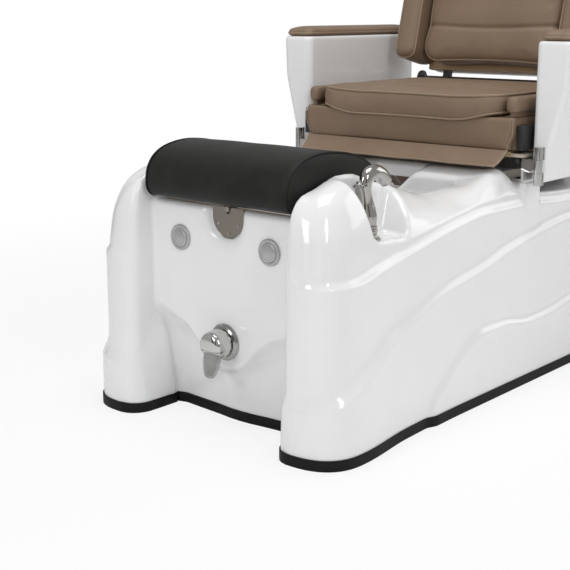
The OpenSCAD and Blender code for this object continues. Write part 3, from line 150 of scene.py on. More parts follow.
def half_wall(out):
    """Right half of the plan, from the front's middle to the rear's middle, standing out by this much."""
    rear_x = wall_w(SIDE_END) - REAR_R
    wide = out + .003 * ramp(0, .010, out) + .009 * ramp(.010, .020, out)
    face = front_of(out)
    half = [(s * COLUMN_X, face) for s in (0, .2, .4, .6, .8, .92, 1)]
    for i in range(1, CORNER):
        a = math.pi / 2 * i / CORNER
        half.append((COLUMN_X + (COLUMN_R + wide) * math.sin(a) ** SQUARE,
                     COLUMN_Y - (COLUMN_Y - face) * math.cos(a) ** SQUARE))
    for i in range(SIDE + 1):
        y = mix(COLUMN_Y, SIDE_END, i / SIDE)
        half.append((wall_w(y) + mix(wide, out, ramp(COLUMN_Y, BASE_L * .36, y)), y))
    for i in range(1, REAR + 1):
        a = math.pi / 2 * i / REAR
        half.append((rear_x + (REAR_R + out) * math.cos(a), SIDE_END + (REAR_R + out) * math.sin(a)))
    return half + [(s * rear_x, REAR_FACE + out) for s in (.75, .5, .25, 0)]


def moulding_points():
    """The right half's points, a row for each height, from the floor to the deck's inner edge."""
    plan = half_wall(0)
    first = 7
    last = first + CORNER - 1 + int(SIDE * (JOIN_Y - COLUMN_Y) / (SIDE_END - COLUMN_Y))
    grown = {}
    grid = []
    for k, (x, y) in enumerate(plan):
        column = []
        for z, out in wall_rows(y):
            if out not in grown:
                grown[out] = half_wall(out)
            column.append((*grown[out][k], z))
        if y > JOIN_Y:
            inner = (DECK_W * min(1, x / wall_w(SIDE_END)), min(y, REAR_FACE - .084))
        else:
            q = min(1, max(0, (k - first + 1) / (last - first + 1)))
            inner = (DECK_W * min(1, x / COLUMN_X), mix(.112, plan[last][1], q))
        z0 = upper_z(y) + COVE
        crest = mix(PLATFORM, SHOULDER, (smooth_at(CREST, inner[1] / BASE_L) - .84) / .16)
        d = ramp(COLUMN_Y, BASE_L * .33, y)
        bump = .038 * ramp(BASE_L * .39, BASE_L * .53, y) * (1 - ramp(BASE_L * .53, BASE_L * .6, y))
        for j, share in enumerate(DECK_IN):
            column.append((mix(x, inner[0], share), mix(y, inner[1], share),
                           z0 + (crest - z0) * mix(DOME_UP[j], DECK_UP[j], d) + bump * BUMP[j]))
        grid.append(column)
    return np.array(grid)


def finer(points, times, closed=False):
    """A smooth line with this many times the steps, through rows of points given along the first axis."""
    p = np.asarray(points, float)
    before, after = (p[-1:], p[:2]) if closed else (2 * p[:1] - p[1:2], 2 * p[-1:] - p[-2:-1])
    p = np.concatenate([before, p, after])
    out = []
    for i in range(1, len(p) - 2):
        a, b, c, d = p[i - 1:i + 3]
        for t in (s / times for s in range(times)):
            out.append(.5 * (2 * b + (c - a) * t + (2 * a - 5 * b + 4 * c - d) * t**2
                             + (3 * b - a - 3 * c + d) * t**3))
    if not closed:
        out.append(p[-2])
    return np.array(out)


def linked(name, data):
    """A new object of the scene that holds this data."""
    made = bpy.data.objects.new(name, data)
    bpy.context.scene.collection.objects.link(made)
    return made


def closed_stack(name, rings):
    """A solid through a stack of closed rings of equal length, capped at both ends."""
    n, m = len(rings[0]), len(rings)
    verts = [tuple(p) for ring in rings for p in ring]
    faces = [(r * n + i, r * n + (i + 1) % n, (r + 1) * n + (i + 1) % n, (r + 1) * n + i)
             for r in range(m - 1) for i in range(n)]
    faces += [tuple(reversed(range(n))), tuple(range((m - 1) * n, m * n))]
    mesh = bpy.data.meshes.new(name)
    mesh.from_pydata(verts, [], faces)
    solid = bmesh.new()
    solid.from_mesh(mesh)
    bmesh.ops.triangulate(solid, faces=[f for f in solid.faces if len(f.verts) > 4])
    bmesh.ops.recalc_face_normals(solid, faces=solid.faces)
    solid.to_mesh(mesh)
    solid.free()
    return linked(name, mesh)


def mirrored_rings(half):
    """Whole rings from right halves: each ring is every point of the half, then its mirror image back."""
    half = np.asarray(half, float)
    left = half[:, -2:0:-1] * np.array([-1, 1, 1])
    rings = np.concatenate([half, left], axis=1)
    rings[..., 1] -= FRONT
    return rings


profile = moulding_points().transpose(1, 0, 2)
wall = len(wall_rows(0)) - 1
profile = np.concatenate([profile[:wall], finer(profile[wall:], 4)])
shell = closed_stack("moulded_base", mirrored_rings(profile))


# The front recess between the columns: a panel set back from the columns' fronts, with the toe scoop
# below it. Its upper edge rises in a wave from the middle to the columns.
SCOOP = [(0, .9, 0), (.15, .93, .06), (.28, 1, .25), (.41, 1.05, .5), (.56, 1.1, .75), (.7, 1.15, .86),
         (.84, 1.2, .97), (.93, 1.1, 1)]
RECESS_W, PANEL_Y, SCOOP_D, SCOOP_EDGE, SCOOP_CORNER, SCOOP_LOW = .207, .083, .050, .128, .233, .034


def recess_half(level, round_r=.032):
    """Right half of the recess at this share of the scoop's height. Each point has its place, how far the
    scoop moves it and where the scoop ends above it."""
    half = [(s * RECESS_W, PANEL_Y, 0, d * SCOOP_D, mix(SCOOP_EDGE, SCOOP_CORNER, up)) for s, d, up in SCOOP]
    half.append((RECESS_W - .0048, PANEL_Y - .0048, .006, SCOOP_D, SCOOP_CORNER))
    for s in (.94, .75, .58):
        half.append((RECESS_W, s * PANEL_Y, -.012, SCOOP_D * (s - .16) / .8, mix(LOW_LEDGE, SCOOP_CORNER, s * s)))
    turn = len(half)
    for a in np.radians((8, 22, 38, 54, 70, 84)):
        half.append((RECESS_W + round_r * (1 - math.cos(a)), round_r * (1 - math.sin(a)), -.012 * math.cos(a),
                     .016 * (1 - math.sin(a)), mix(LOW_LEDGE, SCOOP_CORNER, .2)))
    half += [(RECESS_W + round_r + .002, y, 0, 0, LOW_LEDGE) for y in (-.014, -.034)]
    ring = []
    for n, (x, y, dx, dy, top) in enumerate(half):
        z = mix(SCOOP_LOW, top, level) if level <= 1 else .620
        if n >= turn:
            gone = lip_gone((z - LOW_LEDGE + FOOT_DROP) / FOOT_COVE) + lip_gone((z - LEDGE) / COVE)
            y += front_of(2 * STEP - STEP * gone)
        u = min(1, max(0, (top - z) / (top - SCOOP_LOW)))
        depth = 0 if u <= 0 else mix(u**.8, math.sin(math.pi / 2 * min(1, u * 3)), .35)
        ring.append((x + depth * dx, y + depth * dy, z))
    return ring


levels = np.array([recess_half(s) for s in (0, .14, .3, .5, .7, .84, .93, .98, 1)])
rows = finer(levels, 3)
rows = np.concatenate([[np.array(recess_half(0)) * (1, 1, 0) - (0, 0, .010)], rows, [recess_half(2)]])
rows = finer(rows.transpose(1, 0, 2), 4).transpose(1, 0, 2)
recess = closed_stack("recess_cutter", mirrored_rings(rows))


# The foot basin: a deep tub with round corners that curves in to its floor, and a niche in its rear wall.
# It is moulded in one with the shell, so it is cut from it here.
def round_block(x, y, inset, corner, z, drawn=0.0, per_side=22, per_corner=14):
    """One ring of a block: a rectangle with round corners, whose sides are drawn in between them."""
    x0, x1, y0, y1 = x[0] + inset, x[1] - inset, y[0] + inset, y[1] - inset
    r = max(.004, min(corner, (x1 - x0) / 2.2, (y1 - y0) / 2.2))
    ring = []
    corners = ((x1 - r, y0 + r, -90), (x1 - r, y1 - r, 0), (x0 + r, y1 - r, 90), (x0 + r, y0 + r, 180))
    for k, (cx, cy, start) in enumerate(corners):
        for i in range(per_corner + 1):
            a = math.radians(start + 90 * i / per_corner)
            ring.append((cx + r * math.cos(a), cy + r * math.sin(a), z))
        nx, ny, turn = corners[(k + 1) % 4]
        a = math.radians(turn)
        ax, ay = ring[-1][:2]
        bx, by = nx + r * math.cos(a), ny + r * math.sin(a)
        out = math.radians(start + 90)
        for i in range(1, per_side):
            t = i / per_side
            dip = drawn * math.sin(math.pi * t)
            ring.append((mix(ax, bx, t) - dip * math.cos(out), mix(ay, by, t) - dip * math.sin(out), z))
    return ring


BASIN_FLOOR, BASIN_W, BASIN_FRONT, BASIN_REAR = .165, .205, .118, .655
BASIN = [(0, .76, .084, .082, .066), (.02, .86, .056, .054, .070), (.07, .94, .034, .034, .066),
         (.16, .98, .020, .022, .060), (.36, .98, .013, .015, .058), (.56, .98, .006, .008, .056),
         (.62, .995, .002, .003, .052), (.68, 1, 0, 0, .048), (1, 1, 0, 0, .048)]
basin = closed_stack("basin_cutter", [
    round_block((-BASIN_W * w, BASIN_W * w), (BASIN_FRONT + f - FRONT, BASIN_REAR - b - FRONT), 0, r,
                mix(BASIN_FLOOR, .600, up), 0, 1, 10) for up, w, f, b, r in finer(BASIN, 4)])

NICHE_W, NICHE_SLOPE = .017, (.116 - .034) / 2 / .038
niche_top = NICHE_W + NICHE_SLOPE * .12
niche = closed_stack("niche_cutter", [
    [(x, y - FRONT, z) for x, z in ((-NICHE_W, .440), (NICHE_W, .440), (niche_top, .560), (-niche_top, .560))]
    for y in (.630, .701)])


def select_only(piece):
    """Makes a piece the one that the next operators work on."""
    bpy.ops.object.select_all(action="DESELECT")
    piece.select_set(True)
    bpy.context.view_layer.objects.active = piece


def open_with(piece, kind, chosen):
    """Opens a piece for editing, with only those of its faces or edges selected that are chosen."""
    select_only(piece)
    bpy.ops.object.mode_set(mode="EDIT")
    bpy.ops.mesh.select_all(action="DESELECT")
    shape = bmesh.from_edit_mesh(piece.data)
    for part in getattr(shape, kind):
        part.select = bool(chosen(part))
    bmesh.update_edit_mesh(piece.data)


def cutter_box(name, x, y, z, round_r=0.0, sides=6):
    """A block between two corners, with its upright edges rounded."""
    bpy.ops.object.select_all(action="DESELECT")
    middle = ((x[0] + x[1]) / 2, (y[0] + y[1]) / 2 - FRONT, (z[0] + z[1]) / 2)
    bpy.ops.mesh.primitive_cube_add(size=1, location=middle, scale=(x[1] - x[0], y[1] - y[0], z[1] - z[0]))
    made = bpy.context.object
    made.name = name
    bpy.ops.object.transform_apply(location=True, rotation=True, scale=True)
    if round_r:
        open_with(made, "edges", lambda e: abs(e.verts[0].co.z - e.verts[1].co.z) > .001)
        bpy.ops.mesh.bevel(offset=round_r, segments=sides)
        bpy.ops.object.mode_set(mode="OBJECT")
    return made


bay = cutter_box("bay_cutter", (-.2085, .2085), (-.02, .150), (.466, .640))


# The scoop for the hand sprayer, in the shoulder beside the footrest: a leaning hollow with a flat floor.
def ball_hull(name, balls):
    """The tight skin round a few balls, each given as centre and radius."""
    ball = bmesh.new()
    bmesh.ops.create_icosphere(ball, subdivisions=4, radius=1)
    skin = bmesh.new()
    for (x, y, z), r in balls:
        for v in ball.verts:
            skin.verts.new(v.co * r + Vector((x, y - FRONT, z)))
    ball.free()
    bmesh.ops.convex_hull(skin, input=skin.verts)
    bmesh.ops.delete(skin, geom=[v for v in skin.verts if not v.link_faces], context="VERTS")
    bmesh.ops.recalc_face_normals(skin, faces=skin.faces)
    mesh = bpy.data.meshes.new(name)
    skin.to_mesh(mesh)
    skin.free()
    return linked(name, mesh)


pocket = ball_hull("scoop_cutter", [((x, y, .434), .022) for x in (.250, .283) for y in (.200, .292)]
                   + [((.250, .180, .600), .034), ((.228, .366, .600), .034)])


# The recess for the stainless plate: a pocket in the panel with a round lower end, which flares out
# to the panel's face, most of all below the plate.
def plate_outline(r, drop, top, y, steps=24):
    ring = [(r * math.cos(math.pi * i / steps), y - FRONT, .446 - (r + drop) * math.sin(math.pi * i / steps))
            for i in range(steps + 1)]
    return [(r, y - FRONT, top)] + ring + [(-r, y - FRONT, top)]


plate_recess = closed_stack("plate_cutter", [
    plate_outline(r, drop, .640, y) for r, drop, y in (
        (.054, .022, -.010), (.054, .022, .0822), (.0515, .015, .0838), (.0490, .008, .0865), (.0470, .003, .0900),
        (.0455, .001, .0940), (.0445, 0, .0980))])


def apply_change(piece, kind, **settings):
    """Adds a modifier with these settings and applies it."""
    change = piece.modifiers.new(kind.lower(), kind)
    for key, value in settings.items():
        setattr(change, key, value)
    bpy.context.view_layer.objects.active = piece
    bpy.ops.object.modifier_apply(modifier=change.name)


def cut(body, *cutters, how="DIFFERENCE"):
    for c in cutters:
        apply_change(body, "BOOLEAN", operation=how, solver="MANIFOLD", object=c)
        bpy.data.objects.remove(c)


def surface_of(obj):
    return BVHTree.FromPolygons([v.co for v in obj.data.vertices], [p.vertices for p in obj.data.polygons])


def soften_rims(body, surfaces, voxel, reach, rounds):
    """Remeshes the body evenly, draws each point back to the surface it came from, and rounds the rims
    where two surfaces meet, over about this reach."""
    apply_change(body, "REMESH", mode="VOXEL", voxel_size=voxel)
    mesh = body.data
    n, far = len(mesh.vertices), 9.0
    co = np.empty(n * 3)
    mesh.vertices.foreach_get("co", co)
    co = co.reshape(-1, 3)
    near, second = np.full(n, far), np.full(n, far)
    target = co.copy()
    for s in surfaces:
        for i, p in enumerate(co):
            hit = s.find_nearest(p, max(reach, 3 * voxel))
            if hit[0] is None:
                continue
            d = hit[3]
            if d < near[i]:
                second[i], near[i], target[i] = near[i], d, hit[0]
            elif d < second[i]:
                second[i] = d
    at_rim = np.maximum(np.clip((reach - second) / (reach * .6), 0, 1), .06)
    drawn = (near < 2.0 * voxel) & (second > 1.2 * voxel)
    co[drawn] = target[drawn]
    edges = np.empty(len(mesh.edges) * 2, np.int64)
    mesh.edges.foreach_get("vertices", edges)
    edges = edges.reshape(-1, 2)
    count = np.bincount(edges.ravel(), minlength=n).astype(float)[:, None]
    moving = at_rim[:, None]
    for _ in range(rounds):
        total = np.zeros_like(co)
        for axis in range(3):
            total[:, axis] = (np.bincount(edges[:, 0], co[edges[:, 1], axis], n)
                              + np.bincount(edges[:, 1], co[edges[:, 0], axis], n))
        co += (total / count - co) * .5 * moving
    mesh.vertices.foreach_set("co", co.ravel())
    mesh.update()


# Underneath it is open, round the steel frame and the pump's space.
under = cutter_box("under_cutter", (-.290, .290), (.158, 1.262), (-.05, .135), .03)
pump_space = cutter_box("pump_cutter", (-.276, .276), (.700, 1.250), (-.05, .402), .058)
stem_well = cutter_box("stem_cutter", (-.019, .019), (.0965, .1115), (.340, .640), .004)

# A flat boss on each shoulder carries the arm's hinge. The jet's and the drain's holes stay sharp.
bosses = [cutter_box("hinge_boss_" + word, sorted((s * (TOP_W - .054), s * TOP_W)), (.752, .816), (.350, .474),
                     .006, 4) for word, s in SIDES]


def round_hole(name, place, axis, r):
    turn = Vector(axis).to_track_quat("Z", "Y").to_matrix()
    rings = [[Vector(place) - Vector((0, FRONT, 0)) + turn @ Vector((r * math.cos(a), r * math.sin(a), d))
              for a in np.arange(64) * math.pi / 32] for d in (-.032, .032)]
    return closed_stack(name, rings)


JET_X, DRAIN_Y = -BASIN_W, .390
holes = [round_hole("jet_cutter", (JET_X, DRAIN_Y, .300), (1, 0, 0), .038),
         round_hole("drain_cutter", (0, DRAIN_Y, BASIN_FLOOR), (0, 0, 1), .0245)]
surfaces = [surface_of(o) for o in (shell, *bosses, recess, bay, basin, niche, pocket, plate_recess, under,
                                    pump_space)]
cut(shell, *bosses, how="UNION")
cut(shell, recess, bay, plate_recess, basin, niche, pocket, under, pump_space)
soften_rims(shell, surfaces, .0044, .0085, 22)
cut(shell, stem_well, *holes)
shell.data.shade_smooth()


class Value:
    """A number or colour inside a finish, so that its maths reads as plain sums."""

    def __init__(self, finish, socket):
        self.finish, self.socket = finish, socket

    def sum(self, operation, *parts):
        return self.finish.node("Math", inputs=dict(enumerate(parts)), operation=operation)

    def __add__(self, other):
        return self.sum("ADD", self, other)

    def __sub__(self, other):
        return self.sum("SUBTRACT", self, other)

    def __mul__(self, other):
        return self.sum("MULTIPLY", self, other)

    def __rsub__(self, other):
        return self.sum("SUBTRACT", other, self)

    __radd__, __rmul__ = __add__, __mul__

    def between(self, low, high):
        """0 where it is below low, 1 above high, and smooth between."""
        return self.finish.node("MapRange", inputs={0: self, 1: low, 2: high, 3: 0.0, 4: 1.0},
                                interpolation_type="SMOOTHSTEP")


class Finish:
    """A surface's finish on a Principled shader, with its patterns read from the piece's own place."""

    def __init__(self, name, **fixed):
        self.material = bpy.data.materials.new(name)
        self.material.use_nodes = True
        self.tree = self.material.node_tree
        self.shader = self.tree.nodes["Principled BSDF"]
        for socket, value in fixed.items():
            self.shader.inputs[socket.replace("_", " ")].default_value = value
        self.place = self.node("TexCoord", output="Object")

    def node(self, kind, inputs=None, output=0, **settings):
        made = self.tree.nodes.new("ShaderNode" + kind)
        for key, value in settings.items():
            setattr(made, key, value)
        for key, value in (inputs or {}).items():
            self.put(made.inputs[key], value)
        return Value(self, made.outputs[output])

    def put(self, socket, value):
        if isinstance(value, Value):
            self.tree.links.new(value.socket, socket)
        else:
            socket.default_value = value

    def noise(self, scale, detail=3.0, roughness=.5, stretch=None):
        place = self.place
        if stretch:
            place = self.node("Mapping", {"Vector": place, "Scale": stretch})
        return self.node("TexNoise", {"Vector": place, "Scale": scale, "Detail": detail, "Roughness": roughness})

    def pebbles(self, scale):
        """How far each place is from the edge of the grain's pebble round it."""
        return self.node("TexVoronoi", {"Vector": self.place, "Scale": scale, "Randomness": 1.0},
                         feature="DISTANCE_TO_EDGE")

    def height(self):
        return self.node("SeparateXYZ", {"Vector": self.place}, output="Z")

    def blend(self, share, first, second):
        pair = [c if isinstance(c, Value) else (*c, 1) for c in (first, second)]
        return self.node("Mix", {0: share, 6: pair[0], 7: pair[1]}, output=2, data_type="RGBA")

    def set(self, **sockets):
        for key, value in sockets.items():
            self.put(self.shader.inputs[key.replace("_", " ")], value)
        return self

    def mottle(self, share, first, second, rough, rougher):
        """Two colours mixed by this share, which makes it rougher as well."""
        return self.set(Base_Color=self.blend(share, first, second), Roughness=rough + share * rougher)

    def relief(self, height, strength, depth):
        return self.set(Normal=self.node("Bump", {"Height": height, "Strength": strength, "Distance": depth}))


def dress(piece, finish, slot, body, *nodes):
    """Gives a piece its finish and the body it rides on, and hides the CAD nodes it replaces. The slot is not used."""
    piece.data.materials.clear()
    piece.data.materials.append(finish.material)
    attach(piece, body)
    if nodes:
        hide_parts(*nodes)


# Acrylic: a deep even gloss over white, very slightly wavy where the sheet was drawn over the mould,
# with faint scuffs and dust low on the walls.
acrylic = Finish("white_acrylic", Roughness=.1, IOR=1.49, Coat_Weight=.35, Coat_Roughness=.03)
wave, cloud = acrylic.noise(5.0, 2.0), acrylic.noise(9.0, 5.0, .6)
scuff = acrylic.noise(60.0, 6.0, .7, (1.0, 1.0, 3.0)).between(.60, .78) * (1 - acrylic.height().between(.02, .22))
white = acrylic.blend(cloud.between(.3, .7), (.885, .888, .896), (.905, .907, .912))
acrylic.set(Base_Color=acrylic.blend(scuff * .5, white, (.70, .69, .67)),
            Roughness=.09 + cloud * .05 + scuff * .2)
acrylic.relief(wave, .05, .01)
dress(shell, acrylic, "shell_white", "base", "base_shell", "basin_tub")


# Rubber skirting: an extruded black strip bonded round the foot of the shell, to seal it and take
# knocks from shoes and mops. Matt, with a fine moulded grain and grey scuffs.
def repaint(finish, *nodes):
    """Gives CAD nodes, which keep their shape, this finish."""
    for n in nodes:
        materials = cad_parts[n].data.materials
        for i in range(len(materials)):
            materials[i] = finish.material
        if not len(materials):
            materials.append(finish.material)


rubber = Finish("skirting_rubber", Roughness=.5, Specular_IOR_Level=.12)
rub = rubber.noise(30.0, 5.0, .65).between(.55, .8)
rubber.set(Base_Color=rubber.blend(rub * .35, (.012, .013, .012), (.05, .049, .047)), Roughness=.46 + rub * .2)
rubber.relief(rubber.noise(900.0, 2.0), .12, .0004)


def smooth_by_angle(piece, degrees):
    """Shades a piece smooth but for its edges that turn by more than this."""
    select_only(piece)
    bpy.ops.object.shade_smooth_by_angle(angle=math.radians(degrees))


def grown_outline(ring, d):
    """A closed outline's points moved out along its normals."""
    p = np.array([q[:2] for q in ring], float)
    along = np.roll(p, -1, 0) - np.roll(p, 1, 0)
    along /= np.linalg.norm(along, axis=1, keepdims=True)
    area = np.sum(p[:, 0] * np.roll(p[:, 1], -1) - np.roll(p[:, 0], -1) * p[:, 1])
    return p + d * math.copysign(1, area) * np.column_stack([along[:, 1], -along[:, 0]])


def upright(name, outline, low, high):
    return closed_stack(name, [[(x, y, z) for x, y in outline] for z in (low, high)])


skirt_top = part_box("skirting")[1][2]
plan = half_wall(0)
floor_half = [(*half_wall(wall_rows(y)[0][1])[k], 0) for k, (x, y) in enumerate(plan)]
foot = mirrored_rings([floor_half])[0]
scoop = mirrored_rings([recess_half(0)])[0]
skirt = upright("rubber_skirting", grown_outline(foot, .003), 0, skirt_top)
cut(skirt, upright("skirt_scoop", grown_outline(scoop, -.003), -.01, .1))
inner = upright("skirt_inside", grown_outline(foot, -.0015), -.02, .09)
cut(inner, upright("skirt_back", grown_outline(scoop, .0015), -.03, .11))
cut(skirt, inner)
apply_change(skirt, "BEVEL", width=.0009, segments=2, limit_method="ANGLE", angle_limit=math.radians(50))
smooth_by_angle(skirt, 40)
dress(skirt, rubber, "rubber_black", "base", "skirting")

# Frame and feet: welded square steel tube under the shell, powder coated dark grey, on seven
# levelling feet with rubber soles.
powder = Finish("frame_powder_coat", Roughness=.5)
chip = powder.noise(45.0, 4.0, .7).between(.66, .74)
powder.set(Base_Color=powder.blend(chip * .5, (.055, .057, .060), (.16, .15, .14)), Roughness=.48 + chip * .15)
powder.relief(powder.noise(700.0, 2.0), .18, .0003)
repaint(powder, "base_frame", "seat_frame", "back_frame", "hinge_plates")
foot_rubber = Finish("foot_rubber", Roughness=.6)
foot_rubber.set(Base_Color=foot_rubber.blend(foot_rubber.noise(80.0, 4.0), (.02, .02, .02), (.05, .05, .048)))
foot_rubber.relief(foot_rubber.noise(500.0, 2.0), .2, .0004)
repaint(foot_rubber, "levelling_feet")

# Bracket plate: brushed stainless sheet set in the panel's recess, riveted on, with a slot that
# guides the footrest's stem. A thumb screw through it holds the stem.
stainless = Finish("brushed_stainless", Metallic=1.0, Roughness=.3)
brush = stainless.noise(60.0, 4.0, .6, (1.0, 1.0, 28.0))
smear = stainless.noise(14.0, 4.0, .6)
stainless.set(Base_Color=stainless.blend(brush, (.25, .226, .196), (.31, .281, .248)),
              Roughness=.26 + brush * .1 + smear * .08)
stainless.relief(brush, .12, .0003)
repaint(stainless, "bracket_plate", "footrest_stem", "seat_rails")
bright = Finish("polished_steel", Metallic=1.0, Roughness=.14)
spot = bright.noise(120.0, 3.0, .6)
bright.mottle(spot, (.70, .68, .65), (.80, .78, .75), .1, .12)
repaint(bright, "rear_screws")
rivet = Finish("dull_steel", Metallic=1.0, Roughness=.3)
rivet.set(Base_Color=rivet.blend(rivet.noise(150.0), (.30, .285, .26), (.40, .38, .35)),
          Roughness=.24 + rivet.noise(90.0) * .12)
repaint(rivet, "plate_rivets", "lock_screw")


# Footrest: a half-round foam roll on a plywood board, covered in satin black vinyl. Each end is a
# flat panel sewn in with a thin welt, and the cover is drawn tight under the board.
REST_L, REST_D, REST_H, REST_Y, REST_Z = .398, .290, .113, .050, .473
REST_SIDE = [(.15, .06), (.08, .015), (.02, .1), (0, .26), (.005, .45), (.03, .62), (.08, .77), (.16, .89), (.27, .965),
             (.4, 1), (.53, .985), (.66, .935), (.79, .84), (.9, .71), (.97, .56), (1, .42), (.99, .31), (.94, .235),
             (.72, .186), (.5, .138), (.32, .099)]
side_line = finer(REST_SIDE, 5, closed=True)[::-1]


def rest_ring(x, grow):
    """The roll's side outline at x, grown or drawn in by this length."""
    middle = np.array([.5, .42])
    size = np.array([REST_D, REST_H])
    line = (side_line - middle) * size
    reach = np.linalg.norm(line, axis=1, keepdims=True)
    line = line * (1 + grow / reach) + middle * size
    return [(x, REST_Y + p[0] - FRONT, REST_Z + p[1]) for p in line]


half = REST_L / 2
ends = [(0, -.050), (.0006, -.022), (.0022, -.008), (.0045, -.0035), (.0075, -.0028), (.0105, -.0012), (.016, .0002)]
stack = [(-half + d, g) for d, g in ends]
stack += [(x * half, .0012 * (1 - x * x) + .0003 * math.sin(9 * x)) for x in np.linspace(-.88, .88, 41)]
stack += [(half - d, g) for d, g in reversed(ends)]
roll = closed_stack("footrest_roll", [rest_ring(x, g) for x, g in stack])
for v in roll.data.vertices:
    dome = 1 - min(1.0, math.hypot((v.co.y + FRONT - REST_Y - .145) / .16, (v.co.z - REST_Z - .05) / .07))
    if abs(v.co.x) > half - .0008:
        v.co.x += math.copysign(.0022 * dome, v.co.x)
roll.data.shade_smooth()


def tube(name, points, radius, closed=True, sides=10):
    """A round cord of this radius along a line of points, as a mesh."""
    p = [Vector(q) for q in points]
    n = len(p)
    rings = []
    side = None
    for i in range(n):
        ahead = p[(i + 1) % n] if closed or i < n - 1 else p[i]
        behind = p[i - 1] if closed or i else p[i]
        along = (ahead - behind).normalized()
        if side is None:
            side = along.orthogonal().normalized()
        side = (side - along * side.dot(along)).normalized()
        up = along.cross(side)
        rings.append([p[i] + radius * (math.cos(a) * side + math.sin(a) * up)
                      for a in np.arange(sides) * 2 * math.pi / sides])
    verts = [tuple(v) for r in rings for v in r]
    faces = []
    for r in range(n if closed else n - 1):
        nxt = (r + 1) % n
        turn = 0
        if closed and nxt == 0:
            turn = min(range(sides), key=lambda k: (rings[0][k] - rings[-1][0]).length)
        faces += [(r * sides + i, r * sides + (i + 1) % sides, nxt * sides + (i + 1 + turn) % sides,
                   nxt * sides + (i + turn) % sides) for i in range(sides)]
    if not closed:
        faces += [tuple(reversed(range(sides))), tuple(range((n - 1) * sides, n * sides))]
    mesh = bpy.data.meshes.new(name)
    mesh.from_pydata(verts, [], faces)
    mesh.shade_smooth()
    return linked(name, mesh)


welts = [tube("footrest_welt_" + word, rest_ring(s * (half - .0065), -.0012), .0019, sides=8) for word, s in SIDES]

vinyl = Finish("black_vinyl", Roughness=.5, Specular_IOR_Level=.22)
grain = vinyl.pebbles(620.0)
worn = vinyl.noise(11.0, 5.0, .6).between(.45, .75)
crease = vinyl.noise(26.0, 3.0, .55, (.35, 1.0, 1.0))
vinyl.set(Base_Color=vinyl.blend(worn, (.0115, .0116, .0108), (.020, .0196, .0185)),
          Roughness=.44 + worn * .1 + grain * .08)
vinyl.relief(grain.between(0, .12) * .25 + crease * .9, .22, .0012)
for piece in (roll, *welts):
    dress(piece, vinyl, "rest_vinyl", "footrest")
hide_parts("footrest_pad")

birch = Finish("birch_plywood", Roughness=.55)
rings = birch.noise(7.0, 4.0, .55, (1.0, 9.0, 9.0))
birch.mottle(rings, (.44, .29, .16), (.60, .43, .26), .5, .15)
birch.relief(rings, .1, .0005)
repaint(birch, "footrest_board", "seat_pan", "back_board")


# Push buttons: two round air switches for the jet and the fill, each a satin bezel screwed through
# the panel and a plain, nearly flat satin cap with a fine ring turned near its edge.
def turned(name, profile, origin, axis, steps=72):
    """Spins a profile of (radius, height) points about an axis through this place."""
    along = Vector(axis).normalized()
    out = along.orthogonal().normalized()
    base = Vector(origin) - Vector((0, FRONT, 0))
    mesh = bpy.data.meshes.new(name)
    mesh.from_pydata([tuple(base + out * r + along * h) for r, h in profile],
                     [(i, i + 1) for i in range(len(profile) - 1)], [])
    made = linked(name, mesh)
    select_only(made)
    bpy.ops.object.mode_set(mode="EDIT")
    bpy.ops.mesh.select_all(action="SELECT")
    bpy.ops.mesh.spin(steps=steps, angle=2 * math.pi, center=base, axis=along)
    bpy.ops.mesh.select_all(action="SELECT")
    bpy.ops.mesh.remove_doubles(threshold=.00002)
    bpy.ops.mesh.normals_make_consistent(inside=False)
    bpy.ops.object.mode_set(mode="OBJECT")
    smooth_by_angle(made, 40)
    return made


chrome = Finish("chrome_plate", Metallic=1.0, Roughness=.05)
film = chrome.noise(40.0, 4.0, .6).between(.5, .8)
chrome.mottle(film, (.62, .62, .61), (.53, .53, .52), .035, .09)
repaint(chrome, "drain_flange", "drain_plug", "arm_hinge_left", "arm_hinge_right", "base_hinge_left",
        "base_hinge_right")
satin = Finish("satin_cap", Metallic=.65, Roughness=.3)
haze = satin.noise(90.0, 4.0, .6)
satin.mottle(haze, (.43, .44, .44), (.52, .53, .52), .27, .1)
satin.relief(haze, .05, .0003)
FORWARD = (0, -1, 0)
for word, side in SIDES:
    low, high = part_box("button_cap_" + word)
    middle = ((low[0] + high[0]) / 2, high[1] + FRONT, (low[2] + high[2]) / 2)
    r, deep = (high[0] - low[0]) / 2, high[1] - low[1]
    dome = [(.985, .0030), (.95, .0026), (.85, .0019), (.80, .0017), (.785, .0021), (.765, .0021), (.75, .0015),
            (.5, .0006), (.25, .0001), (0, 0)]
    cap = turned("button_dome_" + word, [(0, 0), (r * .985, 0), (r, .0006), (r, deep - .0036)]
                 + [(r * share, deep - drop) for share, drop in dome], middle, FORWARD)
    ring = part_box("button_bezel_" + word)
    wide = (ring[1][0] - ring[0][0]) / 2
    bezel = turned("button_ring_" + word, [(r + .0011, -.022), (r + .0011, 0), (wide, 0), (wide, .0030),
                   (wide - .0006, .0042), (wide - .0016, .0049), (wide - .0030, .0050), (r + .0009, .0050),
                   (r + .0003, .0046), (r + .0002, -.022), (r + .0011, -.022)],
                   (middle[0], PANEL_Y - .0003, middle[2]), FORWARD)
    dress(bezel, satin, "chrome", "base", "button_bezel_" + word)
    dress(cap, satin, "button_grey", "button_" + word, "button_cap_" + word)


